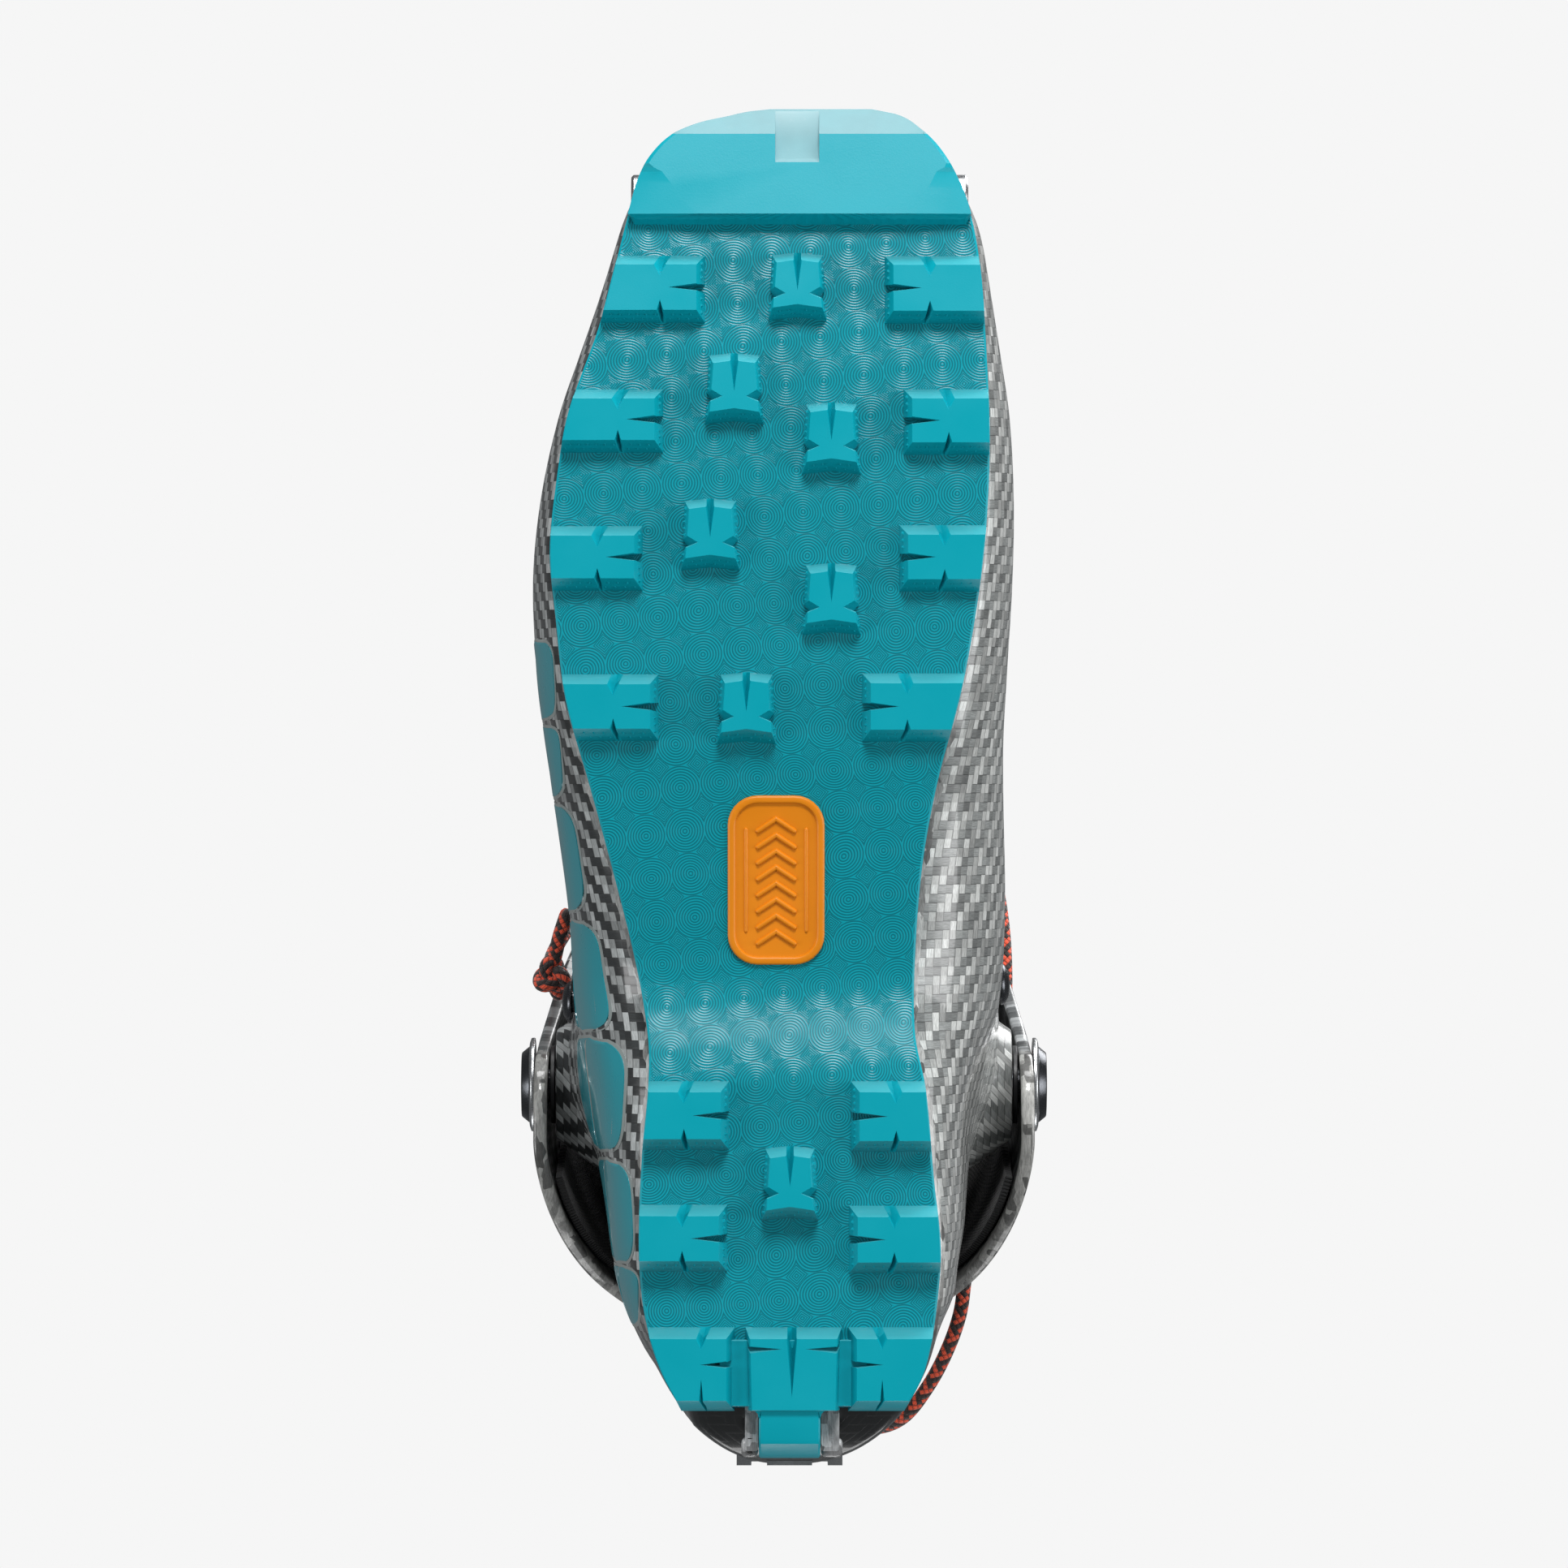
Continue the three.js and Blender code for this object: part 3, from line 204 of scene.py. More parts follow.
def group(name, inputs, outputs, fill):
    """A shader node group. inputs are (name, kind, default), outputs are (name, kind)."""
    made = bpy.data.node_groups.new(name, "ShaderNodeTree")
    for label, kind, default in inputs:
        socket = made.interface.new_socket(label, in_out="INPUT", socket_type="NodeSocket" + kind)
        if default is not None:
            socket.default_value = default
    for label, kind in outputs:
        made.interface.new_socket(label, in_out="OUTPUT", socket_type="NodeSocket" + kind)
    t = Tree(made)
    entry, leave = t.add("NodeGroupInput"), t.add("NodeGroupOutput")
    for label, value in fill(t, entry.outputs).items():
        t.put(leave.inputs[label], value)
    return made


def grain_nodes(t, given):
    """Fine moulded grain: a height, and a slow variation of tone."""
    fine = t.noise(given["Where"], 2600, 3, 0.6)
    broad = t.noise(given["Where"], 60, 3, 0.55)
    dust = t.noise(given["Where"], 420, 4, 0.7)
    tone = t.math("MULTIPLY_ADD", t.math("SUBTRACT", broad, 0.5), given["Variation"], 1.0)
    dusty = t.math("MULTIPLY", t.spread(dust, 0.62, 0.8), given["Dust"])
    dusted = t.blend(dusty, t.scale(given["Color"], tone), (0.5, 0.5, 0.5, 1))
    return {"Color": dusted, "Height": fine, "Mask": broad}


GRAIN = group(
    "moulded_grain",
    [("Where", "Vector", None), ("Color", "Color", None), ("Variation", "Float", 0.2), ("Dust", "Float", 0.0)],
    [("Color", "Color"), ("Height", "Float"), ("Mask", "Float")], grain_nodes)


def twill_nodes(t, given):
    """Two-by-two twill of flat tows over a surface measured in metres."""
    u, v, _ = t.split(given["Where"])
    u = t.math("DIVIDE", u, given["Tow"])
    v = t.math("DIVIDE", v, given["Tow"])
    i, j = t.math("FLOOR", u), t.math("FLOOR", v)
    over = t.math("LESS_THAN", t.math("FLOORED_MODULO", t.math("ADD", i, j), 4.0), 2.0)
    fu, fv = t.math("FRACT", u), t.math("FRACT", v)

    def crown(f):
        off_middle = t.math("ABSOLUTE", t.math("MULTIPLY_ADD", f, 2.0, -1.0))
        return t.math("SUBTRACT", 1.0, t.math("POWER", off_middle, 4.0))

    cell = t.add("ShaderNodeCombineXYZ")
    t.put(cell.inputs[0], i)
    t.put(cell.inputs[1], j)
    chance = t.add("ShaderNodeTexWhiteNoise", noise_dimensions="3D")
    t.put(chance.inputs["Vector"], cell.outputs[0])
    fibres_u = t.noise(t.scaled(given["Where"], (14, 1.2, 1)), 420, 2, 0.7)
    fibres_v = t.noise(t.scaled(given["Where"], (1.2, 14, 1)), 420, 2, 0.7)
    fibres = t.choose(over, fibres_v, fibres_u)
    height = t.choose(over, crown(fv), crown(fu))
    shade = t.math("MULTIPLY", t.spread(chance.outputs["Value"], 0, 1, 0.55, 1.3),
                   t.spread(fibres, 0.3, 0.7, 0.6, 1.35))
    # Each tow darkens towards its edges by its height: painted shade where it dips under the crossing tow.
    shade = t.math("MULTIPLY", shade, t.spread(height, 0, 0.7, 0.25, 1))
    # Warp and weft take different tones: painted reflection, standing in for the fibres' two directions catching
    # light differently.
    return {"Color": t.scale(t.blend(over, given["Weft"], given["Warp"]), shade), "Height": height}


TWILL = group(
    "carbon_twill",
    [("Where", "Vector", None), ("Tow", "Float", 0.002), ("Warp", "Color", None), ("Weft", "Color", None)],
    [("Color", "Color"), ("Height", "Float")], twill_nodes)


def weave_nodes(t, given):
    """A plain cloth weave over a surface measured in metres."""
    u, v, _ = t.split(given["Where"])
    u = t.math("MULTIPLY", t.math("DIVIDE", u, given["Yarn"]), math.pi)
    v = t.math("MULTIPLY", t.math("DIVIDE", v, given["Yarn"]), math.pi)
    warp = t.math("ABSOLUTE", t.math("SINE", u))
    weft = t.math("ABSOLUTE", t.math("SINE", v))
    side = t.math("GREATER_THAN", t.math("MULTIPLY", t.math("SINE", u), t.math("SINE", v)), 0.0)
    height = t.choose(side, warp, weft)
    broad = t.noise(given["Where"], 90, 3, 0.6)
    # Darker in the hollows between the yarns' crowns: painted shade, times a slow random tone.
    tone = t.math("MULTIPLY", t.spread(height, 0, 1, 0.45, 1.15), t.spread(broad, 0.3, 0.7, 0.8, 1.25))
    return {"Color": t.scale(given["Color"], tone), "Height": height}


WEAVE = group(
    "cloth_weave", [("Where", "Vector", None), ("Yarn", "Float", 0.0006), ("Color", "Color", None)],
    [("Color", "Color"), ("Height", "Float")], weave_nodes)


def forged_nodes(t, given):
    """Short chopped tows lying every way, each with its own tone."""
    chips = t.add("ShaderNodeTexVoronoi", feature="F1", distance="CHEBYCHEV")
    t.put(chips.inputs["Vector"], t.scaled(given["Where"], (1, 0.45, 1)))
    t.put(chips.inputs["Scale"], given["Scale"])
    fibres = t.noise(t.scaled(given["Where"], (9, 1.5, 4)), 300, 3, 0.7)
    red, _, _ = t.split(chips.outputs["Color"])
    tone = t.math("MULTIPLY", t.spread(red, 0, 1, 0.2, 1.25), t.spread(fibres, 0.3, 0.7, 0.6, 1.3))
    return {"Color": t.scale(given["Color"], tone), "Height": chips.outputs["Distance"]}


FORGED = group(
    "chopped_carbon", [("Where", "Vector", None), ("Scale", "Float", 600.0), ("Color", "Color", None)],
    [("Color", "Color"), ("Height", "Float")], forged_nodes)


SOCKETS = {"specular_ior_level": "Specular IOR Level"}


def material(name, fill, **settings):
    """A material round one Principled shader. Keyword settings go straight onto the shader's sockets."""
    made = bpy.data.materials.new(name)
    made.use_nodes = True
    t = Tree(made.node_tree)
    made.node_tree.nodes.clear()
    shader = t.add("ShaderNodeBsdfPrincipled")
    out = t.add("ShaderNodeOutputMaterial")
    made.node_tree.links.new(shader.outputs[0], out.inputs[0])
    for key, value in settings.items():
        shader.inputs[SOCKETS.get(key, key.replace("_", " ").title())].default_value = value
    fill(t, shader)
    return made


def use(t, tree, **inputs):
    node = t.add("ShaderNodeGroup", node_tree=tree)
    for label, value in inputs.items():
        t.put(node.inputs[label], value)
    return node.outputs


def bump(t, shader, height, distance, strength=1.0):
    node = t.add("ShaderNodeBump")
    node.inputs["Strength"].default_value = strength
    node.inputs["Distance"].default_value = distance
    t.put(node.inputs["Height"], height)
    t.put(shader.inputs["Normal"], node.outputs[0])


def place(t, uv=False):
    """Where a point is on its piece: in metres over the surface, or in space."""
    return t.add("ShaderNodeTexCoord").outputs["UV" if uv else "Object"]


def moulded(name, color, roughness, variation=0.18, depth=0.00002, dust=0.0, **settings):
    def fill(t, shader):
        made = use(t, GRAIN, Where=place(t), Color=color, Variation=variation, Dust=dust)
        t.put(shader.inputs["Base Color"], made["Color"])
        t.put(shader.inputs["Roughness"], t.spread(made["Mask"], 0.3, 0.7, roughness - 0.05, roughness + 0.06))
        bump(t, shader, made["Height"], depth)
    return material(name, fill, **settings)


TEAL = linear(0, 156, 172)
RING_CELL = (0.0084, 0.0093)
RING_PITCH = 0.00058
DIAMOND_REACH = 0.00245


def ringed_rubber(t, shader):
    """Rubber moulded with a lattice of concentric rings, and nested diamonds where four meet."""
    where = t.add("ShaderNodeVectorRotate", rotation_type="Z_AXIS")
    t.put(where.inputs["Vector"], place(t))
    where.inputs["Angle"].default_value = math.radians(7)
    wobble = t.noise(place(t), 45, 1)
    x, y, _ = t.split(where.outputs[0])
    x = t.math("ADD", x, t.math("MULTIPLY", wobble, 0.0025))
    y = t.math("ADD", y, t.math("MULTIPLY", wobble, -0.0020))

    def from_cell(value, size, shift):
        share = t.math("FRACT", t.math("ADD", t.math("DIVIDE", value, size), shift))
        return t.math("MULTIPLY", t.math("SUBTRACT", share, 0.5), size)

    def away(shift):
        return from_cell(x, RING_CELL[0], shift), from_cell(y, RING_CELL[1], shift)

    cx, cy = away(0.0)
    ring = t.math("SQRT", t.math("ADD", t.math("MULTIPLY", cx, cx), t.math("MULTIPLY", cy, cy)))
    dx, dy = away(0.5)
    diamond = t.math("ADD", t.math("ABSOLUTE", dx), t.math("ABSOLUTE", dy))
    distance = t.choose(t.math("LESS_THAN", diamond, DIAMOND_REACH), ring, diamond)
    wave = t.math("SINE", t.math("MULTIPLY", distance, 2 * math.pi / RING_PITCH))
    ridge = t.math("MULTIPLY_ADD", wave, 0.5, 0.5)
    made = use(t, GRAIN, Where=place(t), Color=TEAL, Variation=0.12, Dust=0.006)
    # The grooves of the rings are darker, and the whole ringed base is darker than the lugs' rubber: partly the
    # moulded rings, partly painted shade between the lugs.
    t.put(shader.inputs["Base Color"], t.scale(made["Color"], t.spread(ridge, 0, 1, 0.42, 0.98)))
    shader.inputs["Roughness"].default_value = 0.32
    bump(t, shader, ridge, 0.00007, 0.7)


def carbon_shell(t, shader):
    """Glossy twill, chopped tows in a narrow band along the rubber, and near-black at the heel as painted shade.

    On the medial side the twill is painted lighter and its two ways differ less in tone: painted reflection of a
    bright light on that side.
    """
    uv = place(t, uv=True)
    u, v, _ = t.split(uv)
    # Painted reflection: the medial half of the shell is painted lighter where a bright light reflects.
    medial = t.spread(t.split(place(t))[0], -0.02, 0.02)
    # Light warp and dark weft: painted reflection of the tows' two directions.
    warp = t.blend(medial, linear(168, 172, 172), linear(188, 190, 188))
    weft = t.blend(medial, linear(46, 49, 50), linear(132, 135, 134))
    woven = use(t, TWILL, Where=uv, Tow=0.00198, Warp=warp, Weft=weft)
    chopped = use(t, FORGED, Where=place(t), Scale=520, Color=linear(172, 172, 170))
    ragged = t.math("MULTIPLY_ADD", t.noise(uv, 150, 2), 0.0045, -0.0024)
    band = t.math("MULTIPLY", t.math("LESS_THAN", t.math("ADD", u, ragged), 0.0024),
                  t.math("GREATER_THAN", v, -0.012))
    # Painted shade: the back of the shell is painted near-black where little light reaches.
    heel = t.spread(v, 0.112, 0.128)
    color = t.blend(band, woven["Color"], chopped["Color"])
    color = t.blend(heel, color, linear(34, 36, 37))
    t.put(shader.inputs["Base Color"], color)
    t.put(shader.inputs["Roughness"], t.spread(woven["Height"], 0, 1, 0.5, 0.3))
    bump(t, shader, woven["Height"], 0.00005, 0.5)


def carbon_cuff(t, shader):
    uv = place(t, uv=True)
    # Light warp and darker weft: painted reflection of the tows' two directions.
    woven = use(t, TWILL, Where=uv, Tow=0.0022, Warp=linear(150, 153, 154), Weft=linear(84, 87, 88))
    chopped = use(t, FORGED, Where=place(t), Scale=380, Color=linear(158, 158, 155))
    u, v, _ = t.split(uv)
    rim = t.math("LESS_THAN", t.math("MULTIPLY_ADD", t.noise(uv, 120, 2), 0.004, v), 0.010)
    t.put(shader.inputs["Base Color"], t.blend(rim, woven["Color"], chopped["Color"]))
    t.put(shader.inputs["Roughness"], t.spread(woven["Height"], 0, 1, 0.55, 0.32))
    bump(t, shader, woven["Height"], 0.00005, 0.5)


def forged_block(t, shader):
    chopped = use(t, FORGED, Where=place(t), Scale=520, Color=linear(170, 171, 172))
    t.put(shader.inputs["Base Color"], chopped["Color"])
    shader.inputs["Roughness"].default_value = 0.38
    bump(t, shader, chopped["Height"], 0.0001, 0.5)


def cloth(name, color, yarn, depth, roughness=0.85, **settings):
    def fill(t, shader):
        made = use(t, WEAVE, Where=place(t, uv=True), Yarn=yarn, Color=color)
        t.put(shader.inputs["Base Color"], made["Color"])
        shader.inputs["Roughness"].default_value = roughness
        bump(t, shader, made["Height"], depth)
    return material(name, fill, **settings)


def brushed(name, color, roughness, depth=0.000015):
    def fill(t, shader):
        where = place(t)
        streaks = t.noise(t.scaled(where, (1, 12, 12)), 700, 3, 0.6)
        spots = t.noise(where, 240, 4, 0.65)
        t.put(shader.inputs["Base Color"], t.scale(color[:3], t.spread(spots, 0.3, 0.7, 0.82, 1.08)))
        t.put(shader.inputs["Roughness"], t.spread(streaks, 0.3, 0.7, roughness - 0.07, roughness + 0.1))
        bump(t, shader, streaks, depth)
    return material(name, fill, metallic=1.0)


def braided(name, first, second, plaits, pitch):
    """A round cord of two colours braided in chevrons. U is metres along it, V is the share round it."""
    def fill(t, shader):
        u, v, _ = t.split(place(t, uv=True))
        along = t.math("DIVIDE", u, pitch)
        around = t.math("MULTIPLY", v, float(plaits))
        left = t.math("ADD", along, around)
        right = t.math("SUBTRACT", along, around)
        left_strand, right_strand = t.math("FLOOR", left), t.math("FLOOR", right)
        crossing = t.math("ADD", left_strand, right_strand)
        over = t.math("LESS_THAN", t.math("FLOORED_MODULO", crossing, 2.0), 1.0)

        def crown(value):
            return t.math("SINE", t.math("MULTIPLY", t.math("FRACT", value), math.pi))

        height = t.math("MULTIPLY", t.math("POWER", crown(left), 0.5), t.math("POWER", crown(right), 0.5))
        yarn = t.choose(over, t.math("MULTIPLY_ADD", right, 6.0, left), t.math("MULTIPLY_ADD", left, 6.0, right))
        strands = t.math("MULTIPLY_ADD", t.math("SINE", t.math("MULTIPLY", yarn, math.pi)), 0.5, 0.5)
        pick = t.choose(over, t.math("GREATER_THAN", t.math("FLOORED_MODULO", left_strand, 3.0), 1.5),
                        t.math("LESS_THAN", t.math("FLOORED_MODULO", right_strand, 3.0), 1.5))
        # Darker where the plaits dip: painted shade in the braid's crevices, times the yarns' own stripes.
        tone = t.math("MULTIPLY", t.spread(strands, 0, 1, 0.6, 1.2), t.spread(height, 0, 0.8, 0.2, 1.1))
        t.put(shader.inputs["Base Color"], t.scale(t.blend(pick, second, first), tone))
        shader.inputs["Roughness"].default_value = 0.7
        bump(t, shader, t.math("MULTIPLY_ADD", strands, 0.2, height), 0.0003)
    return material(name, fill, sheen_weight=0.3)


GLOSS = {"coat_weight": 0.7, "coat_roughness": 0.08}
SOLE_GRAIN = {"depth": 0.000014, "dust": 0.006}
M = {
    "rubber": moulded("sole_rubber_plain", TEAL, 0.34, 0.1, specular_ior_level=0.3, **SOLE_GRAIN),
    "ringed": material("sole_rubber_ringed", ringed_rubber, specular_ior_level=0.38),
    # A paler rubber as painted highlight: the toe pad's front slope and notch, where the toe light glances off.
    "painted_highlight_pad": moulded("sole_rubber_painted_highlight_pad", linear(104, 156, 164), 0.4, 0.5, 0.000014, dust=0.1),
    # A paler rubber as painted highlight on lug walls that face the lamps.
    "painted_highlight_walls": moulded("sole_rubber_painted_highlight_walls", linear(58, 166, 178), 0.34, 0.12, specular_ior_level=0.4,
                      **SOLE_GRAIN),
    "orange": moulded("badge_rubber_orange", linear(222, 130, 2), 0.42, 0.15, 0.00001),
    "shell": material("carbon_shell_gloss", carbon_shell, **GLOSS),
    "cuff": material("carbon_cuff_gloss", carbon_cuff, **GLOSS),
    "forged": material("carbon_heel_blocks", forged_block, **GLOSS),
    "teal_decal": moulded("decal_teal", linear(18, 150, 164), 0.3, 0.08, 0.000004, coat_weight=0.6),
    "silver_decal": moulded("decal_silver", linear(150, 158, 156), 0.35, 0.2, 0.000008, coat_weight=0.5),
    "teal": moulded("lever_teal_plastic", linear(24, 140, 152), 0.38, 0.12, 0.00001),
    "black": moulded("black_moulded_plastic", linear(30, 31, 33), 0.42, 0.3, 0.00002, dust=0.05),
    "steel": brushed("brushed_steel", linear(196, 198, 200), 0.28),
    "pivot": brushed("dark_turned_metal", linear(92, 94, 98), 0.24),
    "liner": cloth("inner_boot_cloth", linear(52, 54, 57), 0.0011, 0.00022, sheen_weight=0.25),
    "trim": cloth("inner_boot_trim", linear(30, 31, 33), 0.0006, 0.0001, sheen_weight=0.2),
    "fabric": cloth("black_ribbed_cloth", linear(36, 36, 37), 0.0009, 0.0002, sheen_weight=0.15),
    "footbed": cloth("footbed_cloth", linear(34, 138, 148), 0.0009, 0.00012, sheen_weight=0.3),
    "cord": braided("red_black_cord", linear(240, 86, 50), linear(44, 28, 25), 6, 0.0015),
    "lace": braided("steel_lace", linear(190, 194, 196), linear(110, 114, 118), 3, 0.0007),
}


# ---- meshes ------------------------------------------------------------------------------------------
class Mesh:
    """Points in millimetres, faces, and what each face corner and face carries."""

    def __init__(self):
        self.points, self.faces, self.uvs, self.kinds = [], [], [], []

    def add(self, points, faces, uvs=None, kind=0):
        start = len(self.points)
        points = np.asarray(points, float).reshape(-1, 3)
        self.points.extend(points.tolist())
        for n, face in enumerate(faces):
            self.faces.append([start + i for i in face])
            self.kinds.append(kind[n] if hasattr(kind, "__len__") else kind)
            self.uvs.extend(uvs[n] if uvs is not None else [tuple(points[i][:2] * MM) for i in face])
        return self

    def grid(self, grid, uv=None, wrap=False, kind=0, flip=False, caps=False):
        """A surface through rows of points.

        uv holds one pair for each point, and one more column if the surface wraps. kind is one number, or
        one for each face.
        """
        grid = np.asarray(grid, float)
        rows, cols = grid.shape[:2]
        spans = cols if wrap else cols - 1
        if uv is None:
            uv = surface_uv(grid, wrap)
        faces, corner = [], []
        for i in range(rows - 1):
            for j in range(spans):
                k = (j + 1) % cols
                quad = [(i, j, j), (i, k, j + 1), (i + 1, k, j + 1), (i + 1, j, j)]
                quad = quad[::-1] if flip else quad
                faces.append([a * cols + b for a, b, _ in quad])
                corner.append([tuple(uv[a][c]) for a, _, c in quad])
        if caps:
            ends = [list(range(cols))[::-1], [(rows - 1) * cols + j for j in range(cols)]]
            for row, end in zip((0, rows - 1), ends):
                faces.append(end[::-1] if flip else end)
                corner.append([tuple(uv[row][i % cols]) for i in faces[-1]])
        return self.add(grid.reshape(-1, 3), faces, corner, kind)

    def make(self, name, materials, sharp=35, weld=0.0):
        mesh = bpy.data.meshes.new(name)
        mesh.from_pydata(to_row(self.points).tolist(), [], self.faces)
        mesh.uv_layers.new(name="surface").data.foreach_set("uv", np.array(self.uvs, float).ravel())
        for item in materials:
            mesh.materials.append(item)
        mesh.polygons.foreach_set("material_index", np.array(self.kinds, np.int32))
        if weld:
            working = bmesh.new()
            working.from_mesh(mesh)
            bmesh.ops.remove_doubles(working, verts=working.verts, dist=weld * MM)
            working.to_mesh(mesh)
            working.free()
        mesh.update()
        mesh.shade_smooth()
        if sharp < 180:
            mesh.set_sharp_from_angle(angle=math.radians(sharp))
        made = bpy.data.objects.new(name, mesh)
        bpy.context.scene.collection.objects.link(made)
        return made


def surface_uv(grid, wrap=False):
    """Metres over a grid: across its columns, and along its rows."""
    if wrap:
        grid = np.concatenate([grid, grid[:, :1]], axis=1)
    across = np.linalg.norm(np.diff(grid, axis=1), axis=2)
    across = np.concatenate([np.zeros((len(grid), 1)), np.cumsum(across, axis=1)], axis=1)
    across -= across[:, across.shape[1] // 2][:, None]
    along = np.linalg.norm(np.diff(grid, axis=0), axis=2).mean(axis=1)
    along = np.concatenate([[0], np.cumsum(along)])
    return np.stack([across, np.repeat(along[:, None], grid.shape[1], axis=1)], axis=2) * MM


def settle(made, body, nodes=()):
    """Puts a finished piece on its body and the CAD nodes it stands for."""
    if body:
        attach(made, body)
    if nodes:
        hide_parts(*nodes)
    return made


def thicken(made, thickness, offset=-1.0, bevel=0.0):
    solid = made.modifiers.new("wall", "SOLIDIFY")
    solid.thickness = thickness * MM
    solid.offset = offset
    solid.use_even_offset = False
    if bevel:
        round_edges(made, bevel, 50)
    return made


def round_edges(made, width, angle=40, segments=2):
    edge = made.modifiers.new("edges", "BEVEL")
    edge.width = width * MM
    edge.segments = segments
    edge.limit_method = "ANGLE"
    edge.angle_limit = math.radians(angle)
    edge.harden_normals = False
    return made


def frame_at(origin, u, v):
    """Axes at origin: the first two along u and v, as near as they can be square, as columns."""
    n = np.cross(np.asarray(u, float), v)
    n /= np.linalg.norm(n)
    first = np.asarray(u, float) / np.linalg.norm(u)
    return np.array(origin, float), np.stack([first, np.cross(n, first), n])


def placed(points, at):
    origin, axes = at
    return origin + np.asarray(points, float) @ axes


def turned_grid(profile, sides=72, at=None):
    """A surface turned about the third axis of a frame, from (radius, height) pairs."""
    turn = np.linspace(0, 2 * np.pi, sides, endpoint=False)
    rows = [np.stack([r * np.cos(turn), r * np.sin(turn), np.full(sides, h)], axis=1) for r, h in profile]
    grid = np.array(rows)
    return placed(grid, at) if at else grid


def softened(profile, radius):
    """The same outline with each inner corner cut by a small round."""
    out = [profile[0]]
    for a, b, c in zip(profile, profile[1:], profile[2:]):
        a, b, c = (np.array(p, float) for p in (a, b, c))
        before = min(radius, 0.45 * np.linalg.norm(b - a))
        after = min(radius, 0.45 * np.linalg.norm(c - b))
        p, q = b + (a - b) / np.linalg.norm(a - b) * before, b + (c - b) / np.linalg.norm(c - b) * after
        for s in (0, 0.33, 0.67, 1):
            out.append(tuple((1 - s) ** 2 * p + 2 * s * (1 - s) * b + s * s * q))
    return out + [profile[-1]]


def side_frame(side, y, z):
    """A frame whose third axis points out of the boot's side."""
    return frame_at([0, y, z], [0, side, 0], [0, 0, 1])


def turned_piece(name, profile, at, key, body, nodes=(), radius=0.25, sides=72):
    mesh = Mesh().grid(turned_grid(softened(profile, radius), sides, at), wrap=True, caps=True)
    return settle(mesh.make(name, [M[key]], 40), body, nodes)


def smooth_path(points, step):
    """Points at even steps along a smooth curve through the given ones."""
    points = np.asarray(points, float)
    ends = [2 * points[0] - points[1], *points, 2 * points[-1] - points[-2]]
    fine = []
    for p0, p1, p2, p3 in zip(ends, ends[1:], ends[2:], ends[3:]):
        d0, d1, d2 = (max(1e-6, np.linalg.norm(b - a)) ** 0.5 for a, b in ((p0, p1), (p1, p2), (p2, p3)))
        m1, m2 = tangents(p0, p1, p2, p3, d0, d1, d2)
        fine += [hermite(p1, p2, m1, m2, t) for t in np.linspace(0, 1, 24, endpoint=False)]
    fine = np.array(fine + [points[-1]])
    run = np.concatenate([[0], np.cumsum(np.linalg.norm(np.diff(fine, axis=0), axis=1))])
    even = np.linspace(0, run[-1], max(4, int(round(run[-1] / step))))
    return np.stack([np.interp(even, run, fine[:, i]) for i in range(3)], axis=1), run[-1]


def tube_grid(path, diameter, sides):
    """Rings round a path, closed by small domes, and their uv: metres along it and the share round it."""
    way = np.gradient(path, axis=0)
    way /= np.linalg.norm(way, axis=1)[:, None]
    normal = np.cross(way[0], [0.3, 0.2, 0.93])
    rings = []
    turn = np.linspace(0, 2 * np.pi, sides, endpoint=False)
    for point, direction in zip(path, way):
        normal = normal - direction * (normal @ direction)
        normal /= np.linalg.norm(normal)
        other = np.cross(direction, normal)
        rings.append(point + diameter / 2 * (np.cos(turn)[:, None] * normal + np.sin(turn)[:, None] * other))
    run = np.concatenate([[0], np.cumsum(np.linalg.norm(np.diff(path, axis=0), axis=1))]) * MM
    first, last = rings[0], rings[-1]
    dome = ((0.25, 0.92), (0.45, 0.62), (0.5, 0.1))  # share of the diameter past the end, share of the width
    for reach, wide in dome:
        rings.insert(0, path[0] - way[0] * diameter * reach + (first - path[0]) * wide)
        rings.append(path[-1] + way[-1] * diameter * reach + (last - path[-1]) * wide)
    run = np.pad(run, len(dome), mode="edge")
    share = np.linspace(0, 1, sides + 1)
    uv = np.stack(np.broadcast_arrays(run[:, None], share[None, :]), axis=2)
    return np.array(rings), uv


# ---- lines of the sole -------------------------------------------------------------------------------
SOLE_LATERAL = line((TOE_Y, 3), (-145.6, 8), (-144.6, 12), (-143.2, 18), (-140.5, 24), (-136, 28.7),
                    (-131, 31.4), (-124, 33.4), (-110, 36.9), (-98, 40.1), (-80, 46.4), (-66, 48.9),
                    (-50, 50.4), (-36, 49.2), (-18, 47), (0, 42), (20, 36.6), (38, 32.2), (54, 29.4),
                    (64, 29.2), (80, 30.6), (98, 31.3), (110, 30.7), (119, 29), (127, 26.2),
                    (SOLE_BACK_Y, 22.2))
SOLE_MEDIAL = line((TOE_Y, 19), (-144.8, 25), (-141.4, 29.8), (-137.5, 33.6), (-132, 37), (-124, 40.1),
                   (-112, 42.3), (-94, 43.6), (-74, 44.3), (-56, 43.6), (-40, 41.8), (-20, 38.2), (0, 33),
                   (18, 29.8), (38, 28.3), (54, 28.3), (66, 30.6), (85, 32.3), (100, 33.8), (112, 33),
                   (121, 31.6), (128, 29.6), (SOLE_BACK_Y, 26))
TREAD_Z = line((TOE_Y, 12.5), (-122, 6.5), (-100, 2.8), (-80, 0.7), (-66, 0.08), (-60, 0), (-56, 0),
               (-31, 0), (-26, 0), (-8, 0.4), (40, 0.2), (60, 0), (64, 0), (134, 0))
BASE_Z = line((TOE_Y, 17.4), (-122, 11.4), (-100, 7.8), (-80, 5.6), (-60, 4.7), (-35, 4.6), (-10, 5.3),
              (2, 6.9), (22, 9.4), (41, 11.8), (48, 11), (58, 7.4), (66, 6.1), (134, 6))


def sole_edge(side, y):
    return -SOLE_LATERAL(y) if side < 0 else SOLE_MEDIAL(y)


